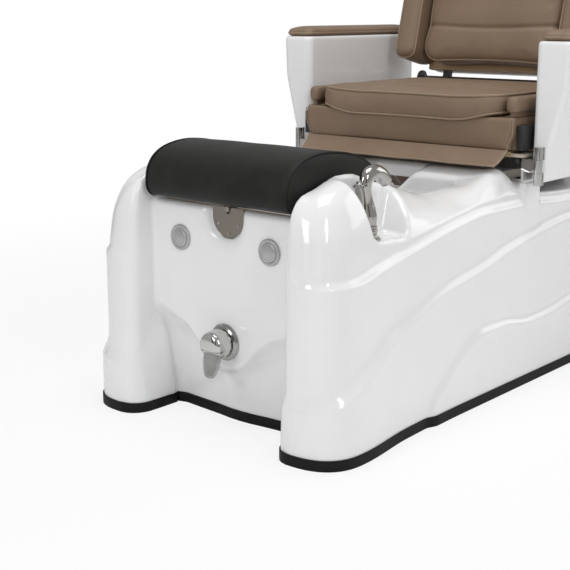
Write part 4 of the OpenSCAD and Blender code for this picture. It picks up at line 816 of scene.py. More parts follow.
# Mixer: a chrome-plated brass tap low in the panel. A round cover plate, a domed hub that turns to
# open it, and a flat lever that hangs from the hub's slot on a pin.
ESCUTCHEON_T, HUB_R, HUB_AXIS, PIN_R, MIXER_Z, HUB_BORE = .009, .031, .026, .004, .185, .0165
low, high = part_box("mixer_hub")
hub_r, hub_l = (high[0] - low[0]) / 2, high[1] - low[1]
HUB = [(.985, .08), (1, .18), (1, .46), (.99, .62), (.96, .74), (.905, .83), (.83, .893), (.73, .935), (.6, .963),
       (.4, .986), (.2, .997), (0, 1), (0, .60)]
hub = turned("mixer_dome", [(HUB_BORE, 0), (hub_r * .86, 0), (hub_r * .93, .0012)]
             + [(hub_r * r, hub_l * h) for r, h in HUB] + [(HUB_BORE, hub_l * .60), (HUB_BORE, 0)],
             (0, high[1] + FRONT, MIXER_Z), FORWARD)
lever_low, lever_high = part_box("mixer_lever")
lever_y, lever_z = PANEL_Y - ESCUTCHEON_T - .0006 - HUB_AXIS - PIN_R, MIXER_Z - HUB_R * .45
lever_w = (lever_high[0] - lever_low[0]) / 2 - 2 * PIN_R + .0058
slot = cutter_box("lever_slot", (-lever_w - .0006, lever_w + .0006), (lever_y - .05, lever_y + PIN_R * 2.2),
                  (MIXER_Z - .05, lever_z + .0062), .001, 2)
cut(hub, slot)
smooth_by_angle(hub, 32)


def bent(value, power):
    """The value raised to a power with its sign kept, which squares off a round."""
    return math.copysign(abs(value) ** power, value)


def cross_pin(name, r, half, tip, place, steps):
    """A pin across the object, this long to each side of its place, with eased ends."""
    line = [(0, half), (r * .8, half), (r, half - tip)]
    return turned(name, [(x, -z) for x, z in line] + line[::-1], place, (1, 0, 0), steps)


# Half width, drop and thickness down the lever, as the blade tapers, bows out and thickens at its tip
BLADE = [(.90, .10, .7), (.975, .05, 1.0), (.99, -.05, 1.1), (.985, -.2, 1.05), (.96, -.36, .95), (.905, -.52, .82),
         (.825, -.68, .72), (.72, -.82, .64), (.61, -.93, .58), (.47, -1.0, .5), (.27, -1.035, .38), (.08, -1.045, .2)]
reach = (lever_z - lever_low[2]) / -BLADE[-1][1]
thick = .0075
rows = []
for w, drop, t in finer(BLADE, 4):
    y, z = lever_y - reach * .2 * abs(drop) ** 1.15, lever_z + reach * drop
    rows.append([(lever_w * w * bent(math.cos(a), .55), y + thick * t / 2 * bent(math.sin(a), .8)
                  + .0016 * math.cos(a) ** 2 * w - FRONT, z) for a in np.arange(28) * 2 * math.pi / 28])
blade = closed_stack("mixer_blade", rows)
blade.data.shade_smooth()
pin = cross_pin("mixer_pin", PIN_R, lever_w + .0030, .0005, (0, lever_y, lever_z), 32)
# Lever and cover plate: chrome whose base colour is darkened as painted reflection of the shaded floor below them, with
# faint wipe marks.
painted_shade_chrome = Finish("lever_chrome_painted_reflection", Metallic=1.0, Roughness=.2)
wiped = painted_shade_chrome.noise(30.0, 4.0, .6)
painted_shade_chrome.mottle(wiped, (.34, .34, .335), (.43, .43, .42), .14, .1)
repaint(painted_shade_chrome, "mixer_escutcheon")
dress(hub, chrome, "chrome", "mixer", "mixer_hub")
dress(blade, painted_shade_chrome, "chrome", "lever", "mixer_lever")
dress(pin, chrome, "chrome", "lever")
brass = Finish("valve_brass", Metallic=1.0, Roughness=.32)
dull = brass.noise(50.0, 4.0, .6)
brass.mottle(dull, (.62, .45, .22), (.50, .36, .19), .25, .2)
repaint(brass, "mixer_valve")


# Hand sprayer: a swan-necked pull-out shower in chrome, coloured darker and warmer as painted reflection of its
# dark and brown surroundings, standing in a flanged socket in the scoop. The trigger on its front opens the valve,
# and the head faces down behind it.
SPRAY_H = .150
reflection_painted_chrome = Finish("sprayer_chrome", Metallic=1.0, Roughness=.06)
water = reflection_painted_chrome.noise(40.0, 3.0, .6)
reflection_painted_chrome.mottle(water, (.50, .485, .46), (.38, .37, .35), .04, .08)
repaint(reflection_painted_chrome, "sprayer_holder")
holder_low, holder_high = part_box("sprayer_holder")
spray_x, spray_y = (holder_low[0] + holder_high[0]) / 2, (holder_low[1] + holder_high[1]) / 2
spray_z = holder_low[2] - .0003
NECK = [(0, .096, .112, .112), (0, .104, .119, .119), (0, .135, .121, .121), (0, .165, .116, .116),
        (0, .21, .108, .110), (0, .27, .112, .115), (-.002, .34, .112, .116), (-.012, .43, .094, .103),
        (-.030, .52, .074, .086), (-.052, .60, .068, .080), (-.072, .68, .073, .085), (-.080, .755, .083, .094),
        (-.052, .828, .093, .101), (.025, .877, .099, .103), (.115, .890, .103, .103), (.205, .868, .105, .102),
        (.285, .820, .104, .099), (.340, .775, .099, .092), (.370, .745, .091, .082)]


def along_path(rows, sides, squareness=1.0):
    """Rings across a path of rows of (y, z, half width, half depth), as shares of the sprayer's height."""
    rows = finer(rows, 3) * SPRAY_H
    out = []
    for i, (y, z, w, d) in enumerate(rows):
        a, b = rows[max(0, i - 1)], rows[min(len(rows) - 1, i + 1)]
        dy, dz = b[0] - a[0], b[1] - a[1]
        size = math.hypot(dy, dz)
        ring = []
        for k in range(sides):
            t = 2 * math.pi * k / sides
            u, v = w * bent(math.cos(t), squareness), d * bent(math.sin(t), squareness)
            ring.append((spray_x + u, spray_y + y + v * dz / size, spray_z + z - v * dy / size))
        out.append(ring)
    return out


body = closed_stack("sprayer_neck", along_path(NECK, 36))
body.data.shade_smooth()
collar = turned("sprayer_collar", [(0, .002), (.0128, .002), (.0128, .0142), (.0165, .0142), (.0185, .015),
                (.0193, .0175), (.0193, .0205), (.0185, .0225), (.0172, .0232), (.0172, .0262), (.0182, .0272),
                (.0182, .0288), (.0165, .0300), (0, .0300)], (spray_x, spray_y + FRONT, spray_z), (0, 0, 1))
tip = Vector((spray_x, spray_y + .372 * SPRAY_H, spray_z + .742 * SPRAY_H))
down = Vector((0, .66, -.75)).normalized()
face = turned("sprayer_face", [(0, -.004), (.0118, -.004), (.0126, -.0005), (.0126, .0018), (.0118, .0027),
              (.0102, .0029), (.0100, .0016), (.0052, .0019), (.0050, .0028), (.0026, .0030), (.0024, .0017),
              (0, .0017)], tip + Vector((0, FRONT, 0)), down, 48)
LEVER = [(-.164, .395, .030, .012), (-.167, .41, .045, .02), (-.180, .475, .058, .025), (-.194, .56, .062, .028),
         (-.209, .65, .061, .030), (-.222, .73, .055, .029), (-.225, .775, .045, .024), (-.224, .80, .030, .014)]
trigger = closed_stack("sprayer_lever", along_path(LEVER, 20, .7))
trigger.data.shade_smooth()
pin_at = (spray_x, spray_y + FRONT - .224 * SPRAY_H, spray_z + .74 * SPRAY_H)
spray_pin = cross_pin("sprayer_pin", .002, .0098, .0006, pin_at, 24)
lug = turned("sprayer_lug", [(.0022, -.0015), (.0037, -.0015), (.0041, -.0009), (.0041, .0009), (.0037, .0015),
             (.0022, .0015), (.0022, -.0015)], (spray_x + .0105, *pin_at[1:]), (1, 0, 0), 32)
lug_end = pin_at[1] - FRONT + .0034
open_with(lug, "faces", lambda f: f.calc_center_median().y > lug_end and abs(f.normal.x) < .5)
bpy.ops.mesh.extrude_region_move(TRANSFORM_OT_translate={"value": (0, .0100, .001)})
bpy.ops.object.mode_set(mode="OBJECT")
lug_left = linked("sprayer_lug_left", lug.data.copy())
for v in lug_left.data.vertices:
    v.co.x = 2 * spray_x - v.co.x
lug_left.data.flip_normals()
dress(body, reflection_painted_chrome, "chrome", "sprayer", "sprayer_body")
dress(trigger, reflection_painted_chrome, "chrome", "trigger", "sprayer_trigger")
for piece in (collar, face, lug, lug_left):
    dress(piece, reflection_painted_chrome, "chrome", "sprayer")
dress(spray_pin, reflection_painted_chrome, "chrome", "trigger")

# Basin fittings: a chrome drain with a lifting plug, and a whirlpool jet whose moulded cup, impeller
# and grille are off-white plastic.
plastic = Finish("jet_plastic", Roughness=.35)
tone = plastic.noise(20.0, 4.0)
plastic.mottle(tone, (.78, .79, .80), (.70, .71, .72), .3, .12)
plastic.relief(plastic.noise(300.0, 2.0), .08, .0003)
repaint(plastic, "jet_housing", "jet_impeller", "jet_cover", "cable_gland")

# Niche: a glossy panel under the seat's front in the basin's rear wall. It is coloured dark brown as painted
# reflection of the leather above and painted shade under the seat.
niche_reflection_paint = Finish("niche_painted_reflection", Roughness=.08, Coat_Weight=.6, Coat_Roughness=.03)
shade = niche_reflection_paint.noise(8.0, 3.0)
niche_reflection_paint.mottle(shade, (.075, .042, .030), (.11, .064, .046), .06, .06)
repaint(niche_reflection_paint, "niche_panel")

# Rear panel: a white pressed cover over the pump, held by screws so that it can be taken off.
cover = Finish("rear_cover_white", Roughness=.3)
peel = cover.noise(160.0, 3.0)
cover.set(Base_Color=cover.blend(cover.noise(12.0, 4.0), (.84, .845, .85), (.79, .79, .79)),
          Roughness=.27 + peel * .1)
cover.relief(peel, .08, .0005)
repaint(cover, "rear_panel")


# Seat: a plywood pan on a steel frame, with a boxed foam base, a loose crowned cushion on it piped all
# round, a narrow pad down each side and a padded front panel. All are covered in taupe leather.
SEAT_W, SEAT_FRONT, SEAT_D, BASE_TOP, SEAT_H = .598, .703, .480, .621, .684
SEAT_REAR, PANEL_T, BASE_Z = SEAT_FRONT + SEAT_D, .026, .5432
CUSHION_W, PANEL_LOW, PANEL_FOOT_W = .268, .549, .572
FILL_FRAMES = 20


def pad(name, x, y, z, corner, low, high, crown=0.0, drawn=0.0):
    """A boxed pad between these sizes: its edges are eased by low and high, and its top is crowned."""
    quarter = [math.radians(q) for q in (0, 15, 32, 50, 70, 90)]
    levels = [(low * (1 - math.sin(a)), z[0] + low * (1 - math.cos(a))) for a in quarter]
    tall = z[1] - z[0] - low - high
    levels += [(-.0012 * math.sin(math.pi * t), z[0] + low + tall * t) for t in (.2, .4, .6, .8)]
    levels += [(high * (1 - math.cos(a)), z[1] - high * (1 - math.sin(a))) for a in quarter]
    wide = min(x[1] - x[0], y[1] - y[0]) / 2 - high
    levels += [(high + wide * t, z[1] + crown * math.sin(math.pi / 2 * min(1, t * 1.08)))
               for t in (.06, .14, .24, .36, .5, .66, .82, .93)]
    return closed_stack(name, [round_block(x, y, i, max(.004, corner - i * .6), h, drawn) for i, h in levels])


def fill_cover(piece, voxel, cap):
    """Fills a sewn cover: the pad is evened out and blown up a little, no point moving beyond the cap."""
    scene = bpy.context.scene
    apply_change(piece, "REMESH", mode="VOXEL", voxel_size=voxel * 1)
    before = np.array([v.co for v in piece.data.vertices])
    cloth = piece.modifiers.new("filling", "CLOTH")
    way = cloth.settings
    way.quality, way.mass, way.use_pressure, way.uniform_pressure_force = 4, .3, True, 4.0
    way.tension_stiffness = way.compression_stiffness = 25
    way.bending_stiffness = 2.0
    way.effector_weights.gravity = 0
    cloth.collision_settings.use_collision = False
    cloth.point_cache.frame_start, cloth.point_cache.frame_end = 1, FILL_FRAMES
    for f in range(1, FILL_FRAMES + 1):
        scene.frame_set(f)
    seen = piece.evaluated_get(bpy.context.evaluated_depsgraph_get())
    after = np.array([v.co for v in seen.data.vertices])
    piece.modifiers.remove(cloth)
    scene.frame_set(1)
    move = after - before
    size = np.linalg.norm(move, axis=1, keepdims=True)
    move *= np.minimum(1, cap / np.maximum(size, 1e-9))
    before = before + move
    piece.data.vertices.foreach_set("co", before.ravel())
    apply_change(piece, "SMOOTH", factor=.5, iterations=3)
    apply_change(piece, "SUBSURF", levels=1, render_levels=1)
    piece.data.shade_smooth()


def press_in(piece, depth_at):
    """Moves each point in along its normal by depth_at(place): seams, channels and creases."""
    mesh = piece.data
    out = [v.normal.copy() for v in mesh.vertices]
    for v, n in zip(mesh.vertices, out):
        d = depth_at(v.co)
        if d:
            v.co -= n * d
    mesh.update()


def on_surface(piece, line, lift):
    """The line's points brought onto the pad, and lifted off it by this much."""
    skin = surface_of(piece)
    out = []
    for p in line:
        at, n, _, _ = skin.find_nearest(Vector(p))
        out.append(at + n * lift)
    smooth = out
    for _ in range(4):
        smooth = [(smooth[i - 1] + smooth[i] * 2 + smooth[(i + 1) % len(out)]) / 4 for i in range(len(out))]
    return smooth


leather = Finish("taupe_leather", Roughness=.5, Coat_Weight=.06, Coat_Roughness=.4)
pebble = leather.pebbles(480.0)
fine = leather.noise(260.0, 4.0, .6)
tint = leather.noise(7.0, 4.0, .55).between(.3, .72)
rubbed = leather.noise(16.0, 6.0, .65).between(.56, .78)
hide = leather.blend(tint, (.222, .150, .098), (.250, .172, .114))
hide = leather.blend(rubbed * .35, hide, (.290, .206, .142))
hide = leather.blend((1 - pebble.between(0, .08)) * .35, hide, (.168, .113, .074))
leather.set(Base_Color=hide, Roughness=.47 + fine * .12 - rubbed * .06)
soft_crease = leather.noise(20.0, 3.0, .5, (.7, 1.0, 1.0))
leather.relief(pebble.between(0, .11) * .16 + fine * .06 + soft_crease * .9, .32, .0016)
edging = Finish("taupe_piping", Roughness=.42)
nap = edging.noise(420.0, 3.0, .6)
edging.mottle(nap, (.270, .192, .130), (.316, .232, .160), .4, .12)
edging.relief(nap, .25, .0006)


def upholster(piece, body, fill, *nodes):
    """Covers a pad in leather. The fill is not used."""
    dress(piece, leather, "leather_taupe", body, *nodes)


def pipe(piece, body):
    """Gives a welt or a hem its edging, which is sewn of the same hide."""
    dress(piece, edging, "leather_taupe", body)


seat_x = (-SEAT_W / 2 + .001, SEAT_W / 2 - .001)
base_y = (SEAT_FRONT + PANEL_T + .0003 - FRONT, SEAT_REAR - FRONT)
base_pad = pad("seat_base_pad", seat_x, base_y, (BASE_Z, BASE_TOP), .014, .006, .007)
fill_cover(base_pad, .006, .0015)
upholster(base_pad, "seat", .8, "seat_base")

# The front panel is foam on a board, sewn along its lower edge, and bows out a little between its seams.
panel = []
for q, out in ((0, -.6), (.015, .15), (.05, .62), (.11, .95), (.22, 1.14), (.38, 1.25), (.55, 1.28), (.72, 1.2),
               (.85, 1.02), (.93, .78), (.975, .40), (1, -.5)):
    z, w = mix(PANEL_LOW, BASE_TOP - .001, q), mix(PANEL_FOOT_W, SEAT_W - .002, ramp(0, 1, q * 1.6)) / 2
    y = SEAT_FRONT + .007 * (1.3 - out) * .5
    panel.append(round_block((-w, w), (y - FRONT, SEAT_FRONT + PANEL_T - FRONT), 0, .011, z, 0, 60, 12))
front_panel = closed_stack("seat_front_pad", panel)


def pulled(p):
    """Slack in the cover: low folds that lean across the panel, stronger towards its ends."""
    end = min(1.0, abs(p.x) / .3) ** 2
    wave = math.sin(38 * p.x + 70 * p.z) * .5 + math.sin(17 * p.x - 45 * p.z + 1.3)
    return (.0005 + .0006 * end) * wave if p.y < SEAT_FRONT + .012 - FRONT else 0


press_in(front_panel, pulled)
front_panel.data.shade_smooth()
upholster(front_panel, "seat", .7, "seat_front_panel")
for word, s in SIDES:
    line = [(s * (mix(PANEL_FOOT_W, SEAT_W, ramp(0, 1, q * 1.6)) / 2 - .002), SEAT_FRONT + .0032 - FRONT,
             mix(PANEL_LOW + .002, .615, q)) for q in np.linspace(0, 1, 24)]
    pipe(tube("seat_front_seam_" + word, line, .0016, closed=False, sides=8), "seat")

# The loose cushion: crowned, with a piped seam round its top edge and its foot. Its front is a thick
# round lip that hangs over the panel below, and rises again towards both corners.
CUSHION_X, CUSHION_Y = (-CUSHION_W, CUSHION_W), (SEAT_FRONT - .007 - FRONT, SEAT_REAR - .040 - FRONT)
cushion = pad("seat_cushion_pad", (CUSHION_X[0] + .004, CUSHION_X[1] - .004),
              (CUSHION_Y[0] + .004, CUSHION_Y[1] - .003), (BASE_TOP + .0005, SEAT_H - .014),
              .052, .009, .013, .009, .003)


def lip(x, y, z):
    """The place of a point of the cushion once its front hangs down."""
    share = (1 - ramp(CUSHION_Y[0] - .004, CUSHION_Y[0] + .060, y)) * (1 - ramp(.150, .264, abs(x)))
    low = 1 - .75 * ramp(BASE_TOP, SEAT_H - .006, z)
    return x, y - .006 * share * low, z - .021 * share * low


for v in cushion.data.vertices:
    v.co = lip(*v.co)
fill_cover(cushion, .006, .004)


def cushion_seams(p):
    """A fine seam runs across the cushion, and the cover is creased softly beside it."""
    if p.z < SEAT_H - .03:
        return 0
    d = abs(p.y - (CUSHION_Y[0] + .115) - .012 * (p.x / CUSHION_W) ** 2)
    crease = .0006 * math.sin(31 * p.x + 12 * p.y) * math.exp(-(d / .05) ** 2)
    return .0028 * math.exp(-(d / .0035) ** 2) + .0014 * math.exp(-(d / .014) ** 2) + crease


press_in(cushion, cushion_seams)
upholster(cushion, "seat", .75, "seat_cushion")
for word, z, inset, lift, r in (("top", SEAT_H - .012, .0085, .0012, .0029),
                                ("foot", BASE_TOP + .0062, .004, .0010, .0024)):
    line = [lip(*p) for p in round_block(CUSHION_X, CUSHION_Y, inset, .052, z, .003, 40, 16)]
    pipe(tube("seat_cushion_welt_" + word, on_surface(cushion, line, lift), r), "seat")

# Side pads: narrow boxed strips that fill the seat's width beside the cushion.
for word, s in SIDES:
    x = sorted((s * (CUSHION_W + .0025), s * (SEAT_W / 2 - .0005)))
    strip = pad("seat_side_pad_" + word, x, (SEAT_FRONT + .0125 - FRONT, SEAT_REAR - .0405 - FRONT),
                (.6305, .6665), .012, .006, .007, .001)
    fill_cover(strip, .004, .0008)
    upholster(strip, "seat", .8)
    foot = cutter_box("seat_side_foot_" + word, (x[0] + .009, x[1] - .009), (SEAT_FRONT + .021, SEAT_REAR - .049),
                      (BASE_TOP + .0003, .632), .004, 3)
    dress(foot, leather, "leather_taupe", "seat")
    if s > 0:
        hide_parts("seat_side_pads")

# The flap: a lined leather apron sewn under the front panel, which slants down over the basin's rim
# with a piped hem, and sags slightly between its corners.
DOWN, ACROSS = 18, 60
grid = []
for j in range(DOWN + 1):
    q = j / DOWN
    w = mix(.552, PANEL_FOOT_W, q) / 2
    y, z = mix(.664, SEAT_FRONT + .002, q), mix(.5155, .5480, q ** 1.25)
    row = []
    for i in range(ACROSS + 1):
        u = -1 + 2 * i / ACROSS
        sag = (.0010 * math.sin(math.pi * q) * (1 + .8 * math.sin(7.5 * u + 2.2 * q))
               - .0012 * (1 - q) * math.sin(5.2 * u) ** 2)
        row.append((w * u, y - FRONT + .35 * sag, z - sag))
    grid.append(row)
mesh = bpy.data.meshes.new("seat_apron")
corners = [j * (ACROSS + 1) + i for j in range(DOWN) for i in range(ACROSS)]
mesh.from_pydata([p for row in grid for p in row], [], [(c, c + 1, c + ACROSS + 2, c + ACROSS + 1) for c in corners])
apron = linked("seat_apron", mesh)
apply_change(apron, "SOLIDIFY", thickness=.0042, offset=0, use_even_offset=True)
apply_change(apron, "BEVEL", width=.0012, segments=3, limit_method="ANGLE")
apron.data.shade_smooth()
upholster(apron, "seat", .5, "seat_flap")
hem_line = [row[0] for row in grid[:0:-1]] + grid[0] + [row[-1] for row in grid[1:]]
pipe(tube("seat_apron_hem", hem_line, .0027, closed=False), "seat")

# Under the seat: a black plastic box over each slide lock, a beige painted bracket and two grip knobs.
black = Finish("black_plastic", Roughness=.4)
matt = black.noise(35.0, 5.0, .6)
black.mottle(matt, (.013, .013, .014), (.024, .024, .025), .36, .12)
black.relief(black.noise(600.0, 2.0), .15, .0003)
low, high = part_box("seat_side_boxes")
for word, s in SIDES:
    x = sorted((s * (SEAT_W / 2 + .0004), s * high[0]))
    lock = cutter_box("seat_lock_" + word, x, (low[1] + FRONT, high[1] + FRONT), (low[2], high[2]))
    open_with(lock, "faces", lambda f: f.normal.x * s > .5)
    for width, depth in ((.007, 0), (.0012, -.0015), (.0012, .0015)):
        bpy.ops.mesh.inset(thickness=width, depth=depth)
    bpy.ops.object.mode_set(mode="OBJECT")
    apply_change(lock, "BEVEL", width=.0014, segments=3, limit_method="ANGLE")
    smooth_by_angle(lock, 35)
    dress(lock, black, "black_plastic", "seat")
    if s > 0:
        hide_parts("seat_side_boxes")
low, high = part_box("bracket_knobs")
knob_r = .011
KNOB = [(0, 0), (.62, 0), (.9, .0008), (.98, .0024), (.98, .0098), (.9, .0118), (.6, .0126), (.55, .0139), (0, .0139)]
for word, s in SIDES:
    for n, y in enumerate((low[1] + knob_r, high[1] - knob_r)):
        middle = Vector((s * (high[0] - knob_r), y, 0))
        knob = turned("bracket_knob_%s_%d" % (word, n + 1), [(knob_r * r, h) for r, h in KNOB],
                      (middle.x, y + FRONT, low[2]), (0, 0, 1), 48)
        for v in knob.data.vertices:
            d = Vector((v.co.x, v.co.y, 0)) - middle
            if d.length > knob_r * .8:
                grip = 1 - .09 * (.5 + .5 * math.cos(8 * math.atan2(d.y, d.x)))
                v.co.x, v.co.y = (middle + d * grip)[:2]
        dress(knob, black, "black_plastic", "seat")
        if s > 0 and n:
            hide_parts("bracket_knobs")
paint = Finish("beige_bracket_paint", Roughness=.42)
speck = paint.noise(70.0, 5.0, .6)
paint.mottle(speck, (.56, .50, .41), (.48, .425, .345), .38, .12)
paint.relief(paint.noise(350.0, 2.0), .15, .0003)
repaint(paint, "seat_brackets")


# Backrest: a steel frame and a plywood board that lean on the seat's pivot, with a lumbar and an upper
# cushion between two side bolsters, and a small head pillow strapped over the top.
PIVOT_Y, PIVOT_Z, PIVOT_R, LEAN = 1.172, .668, .008, 14
BACK_W, BACK_H, BOARD_T, WING, PLAY = .500, .640, .018, .046, .0006
PADS_TOP = BACK_H * .98
at_back = (Matrix.Translation((0, PIVOT_Y - FRONT, PIVOT_Z)) @ Matrix.Rotation(math.radians(-LEAN), 4, "X")
           @ Matrix.Translation((0, -PIVOT_R - PLAY - BOARD_T, 0)) @ Matrix.Rotation(math.radians(90), 4, "X"))


def stand_up(piece, shift=0.0):
    """Turns a piece that was made lying down up against the back's board."""
    piece.data.transform(at_back @ Matrix.Translation((0, 0, shift)))
    piece.data.update()
    return piece


def back_pad(name, nodes, x, y, deep, shape, voxel, cap, seams, fill, piping=.0028, shift=0.0):
    """One pad of the backrest: made lying, filled, seamed, piped round its front edge and stood up. Its
    shape is its corners' radius, the easing of its lower and upper edges, its crown and its drawn sides."""
    corner, low, high, crown, drawn = shape
    piece = pad(name, (x[0] + .003, x[1] - .003), (y[0] + .003, y[1] - .003), (.0004, deep), *shape)
    fill_cover(piece, voxel, cap)
    if seams:
        press_in(piece, seams)
    line = round_block(x, y, .006, corner, deep - high * .75, drawn, 40, 14)
    welt = tube(name + "_welt", on_surface(piece, line, .0012), piping)
    upholster(stand_up(piece, shift), "backrest", fill, *nodes)
    pipe(stand_up(welt, shift), "backrest")


def channels(first, last, count, deep):
    """Sewn channels across a pad, which crease a little towards its sides."""
    lines = np.linspace(first, last, count)

    def depth(p):
        if p.z < .03:
            return 0
        d = min(abs(p.y - c - .010 * (p.x / .2) ** 2) for c in lines)
        return deep * math.exp(-(d / .006) ** 2) + .5 * deep * math.exp(-(d / .022) ** 2)
    return depth


def pillow_seam(p):
    """One seam across the middle of the head pillow."""
    return .003 * math.exp(-((p.y - PADS_TOP + .077) / .004) ** 2) if p.z > .03 else 0


cushion_x = (-BACK_W / 2 + WING, BACK_W / 2 - WING)
split = BACK_H * .52
broad = (.044, .006, .016, .010, .004)
back_pad("back_lumbar_pad", ["back_cushion"], cushion_x, (.026, split), .088, broad, .006, .004,
         channels(.115, .235, 2, .004), .7)
back_pad("back_upper_pad", ["back_upper_cushion"], cushion_x, (split + .002, PADS_TOP), .074, broad, .006, .004,
         channels(split + .085, split + .17, 2, .004), .7)
for word, s in SIDES:
    x = sorted((s * (BACK_W / 2 - WING + .002), s * (BACK_W / 2 + WING / 2)))
    back_pad("back_bolster_" + word, ["back_side_bolsters"] if s > 0 else [], x, (.026, PADS_TOP), .1195,
             (.022, .006, .020, .0, .0), .006, .002, None, .85, .0024)
back_pad("head_rest_pillow", ["head_pillow"], (-.140, .140), (PADS_TOP - .142, PADS_TOP - .012), .046,
         (.040, .012, .018, .010, .004), .005, .004, pillow_seam, .6, .0024, .0783 + .010 + PLAY)

# Back cover: a white vacuum-formed shell that closes the back, with a raised rim and a shallow panel
# pressed in it. It clips to the frame.
x, y = (-BACK_W / 2 - WING / 2, BACK_W / 2 + WING / 2), (.022, BACK_H)
levels = [(.010, .0), (.0045, .0012), (.0015, .004), (0, .008), (0, .016), (.0012, .021), (.0045, .0245), (.010, .0258),
          (.030, .026), (.036, .0256), (.0395, .0240), (.043, .0224), (.049, .0218), (.12, .0218), (.2, .0218)]
rings = [round_block(x, y, i, max(.02, .060 - i * .5), h) for i, h in levels]
shell_back = closed_stack("back_shell", rings)
shell_back.data.transform(Matrix.Scale(-1, 4, (0, 0, 1)))
shell_back.data.flip_normals()
stand_up(shell_back, -(BOARD_T + PLAY + 2 * PIVOT_R + .0003))
shell_back.data.shade_smooth()
dress(shell_back, acrylic, "shell_white", "backrest", "back_cover")


# Arms: hollow white mouldings that flare outwards as they rise, with an upholstered pad on top. Each
# hangs on a chrome butt hinge at its front and swings out to let the client in.
ARM_LOW, ARM_IN, ARM_OUT, ARM_FRONT, ARM_L, ARM_H = .474, .322, .354, .7485, .470, .815
ARM_TOP, ARM_WAIST = ARM_H - .026, .690
ARM_Y = (ARM_FRONT - FRONT, ARM_FRONT + ARM_L - FRONT)


def arm_out(z):
    """How far the arm's outer face stands out at this height: it flares below its waist most."""
    return (ARM_OUT + (min(z, ARM_WAIST) - ARM_LOW) * math.tan(math.radians(14))
            + (max(z, ARM_WAIST) - ARM_WAIST) * math.tan(math.radians(3.5)))


def on_side(ring, s):
    return [(s * x, y, z) for x, y, z in ring]


arm_rows = [(ARM_LOW + up, inset) for up, inset in ((0, .0085), (.0012, .0048), (.004, .0016), (.008, 0))]
arm_rows += [(z, 0) for z in np.linspace(ARM_LOW + .02, ARM_TOP - .012, 26)]
arm_rows += [(ARM_TOP - down, inset) for down, inset in ((.006, .0003), (.0025, .0014), (.0006, .0035), (0, .0065))]
for word, s in SIDES:
    rings = []
    for z, inset in arm_rows:
        crown = .0022 * math.sin(math.pi * (z - ARM_LOW) / (ARM_TOP - ARM_LOW))
        rings.append(on_side(round_block((ARM_IN, arm_out(z) - .002 + crown), ARM_Y, inset, .017, z, 0, 16, 10), s))
    arm = closed_stack("arm_moulding_" + word, rings)
    arm.data.shade_smooth()
    dress(arm, acrylic, "shell_white", "arm_" + word, "arm_shell_" + word)
    x = sorted((s * (ARM_IN + .003), s * (arm_out(ARM_TOP) - .003)))
    top = pad("arm_pad_cover_" + word, x, (ARM_Y[0] + .003, ARM_Y[1] - .003), (ARM_TOP + .0005, ARM_H - .007),
              .024, .005, .009, .005, .0015)
    fill_cover(top, .0045, .0018)
    line = on_side(round_block((ARM_IN + .002, arm_out(ARM_TOP) - .002), (ARM_Y[0] + .002, ARM_Y[1] - .002), .0008,
                               .024, ARM_TOP + .0075, 0, 30, 12), s)
    welt = tube("arm_pad_welt_" + word, on_surface(top, line, .0002), .0021, sides=8)
    upholster(top, "arm_" + word, .8, "arm_pad_" + word)
    pipe(welt, "arm_" + word)


# Floor, lamps and camera: a pale studio floor that runs out to white, and soft lamps above, in front, on
# the right and behind. Dark cards out of sight give the chrome its streaks. The view is the photograph's.
bpy.ops.object.select_all(action="DESELECT")
bpy.ops.mesh.primitive_plane_add(size=14, location=(0, 0, -.0005))
floor = bpy.context.object
floor.name = "studio_floor"
bpy.ops.object.transform_apply(location=True, rotation=True, scale=True)
pale = Finish("pale_floor", Base_Color=(.93, .93, .93, 1), Roughness=.9)
gap = pale.node("VectorMath", {0: pale.place}, output="Value", operation="LENGTH")
FADE_FROM, FADE_TO, GLOW_NEAR, GLOW_FAR = .9, 2.6, .80, 1.0
far = pale.node("MapRange", {0: gap, 1: FADE_FROM, 2: FADE_TO, 3: GLOW_NEAR, 4: GLOW_FAR},
                interpolation_type="SMOOTHSTEP")
seen = pale.node("LightPath", output="Is Camera Ray")
swap = pale.node("MixShader", {0: seen * far, 1: Value(pale, pale.shader.outputs[0]), 2: pale.node("Emission")})
pale.put(pale.tree.nodes["Material Output"].inputs["Surface"], swap)
floor.data.materials.append(pale.material)

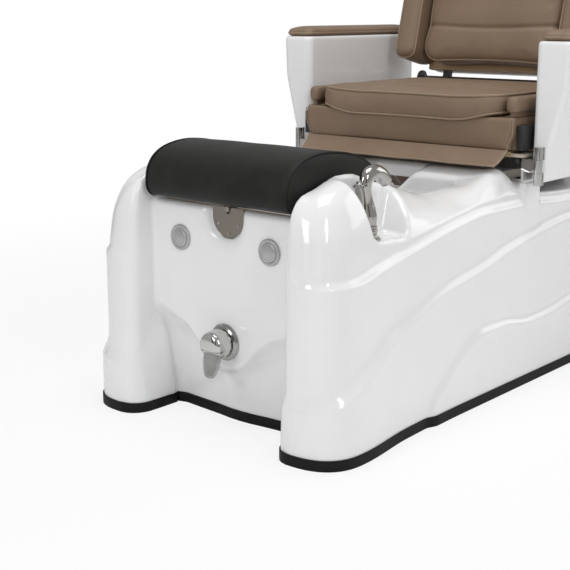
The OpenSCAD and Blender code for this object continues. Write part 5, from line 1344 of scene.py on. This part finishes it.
world = bpy.data.worlds.new("studio") if bpy.context.scene.world is None else bpy.context.scene.world
bpy.context.scene.world = world
world.use_nodes = True
tree = world.node_tree
for n in list(tree.nodes):
    tree.nodes.remove(n)
path, swap, out = (tree.nodes.new("ShaderNode" + k) for k in ("LightPath", "MixShader", "OutputWorld"))
air, backdrop = (tree.nodes.new("ShaderNodeBackground") for _ in range(2))
AMBIENT = .45
air.inputs[0].default_value, air.inputs[1].default_value = (1, .995, .985, 1), AMBIENT
backdrop.inputs[0].default_value, backdrop.inputs[1].default_value = (1, 1, 1, 1), 1
tree.links.new(path.outputs["Is Camera Ray"], swap.inputs[0])
tree.links.new(air.outputs[0], swap.inputs[1])
tree.links.new(backdrop.outputs[0], swap.inputs[2])
tree.links.new(swap.outputs[0], out.inputs[0])


def lamp(name, place, target, size, watts, tall=None):
    light = bpy.data.lights.new(name, "AREA")
    light.shape, light.size, light.size_y, light.energy = "RECTANGLE", size, tall or size, watts
    made = linked(name, light)
    made.location = place
    made.rotation_euler = (Vector(target) - Vector(place)).to_track_quat("-Z", "Y").to_euler()


lamp("overhead", (.2, -.3, 3.2), (0, -.1, .3), 1.5, 33)
lamp("front", (-.3, -3.5, 1.9), (0, -.4, .3), .8, 20, 1.5)
lamp("right_strip", (3.0, -1.6, 2.2), (.2, -.3, .4), .5, 19, 1.6)
lamp("rear_soft", (1.9, 3.0, 1.9), (.3, -.2, .3), 2.0, 21, 2.2)


def dark_card(name, place, target, wide, tall):
    """A card that only reflections show."""
    bpy.ops.mesh.primitive_plane_add(size=1)
    made = bpy.context.object
    made.name = name
    turn = (Vector(target) - Vector(place)).to_track_quat("Z", "Y").to_matrix().to_4x4()
    made.data.transform(Matrix.Translation(place) @ turn @ Matrix.Diagonal((wide, tall, 1, 1)))
    made.visible_camera = made.visible_diffuse = made.visible_shadow = False
    made.data.materials.append(card.material)


card = Finish("dark_card", Base_Color=(.05, .05, .052, 1), Roughness=.9)
for name, place, wide in (("card_left", (-3.4, -.6, 1.0), 1.2), ("card_front", (.5, -4.4, .9), 1.1),
                          ("card_right", (3.6, -2.6, .9), .9), ("card_middle", (-1.2, -4.0, .5), .7)):
    dark_card(name, place, (0, -.3, .5), wide, 2.6)

TILT_DOWN, TURNED = 13.23, 40.54
camera = linked("camera", bpy.data.cameras.new("camera"))
camera.data.lens, camera.data.sensor_width, camera.data.clip_end = 74.4, 36, 100
camera.location = (1.6240, -2.2751, .8596)
camera.rotation_euler = (math.radians(90 - TILT_DOWN), 0, math.radians(TURNED))
bpy.context.scene.camera = camera
bpy.context.scene.view_settings.view_transform = "Standard"
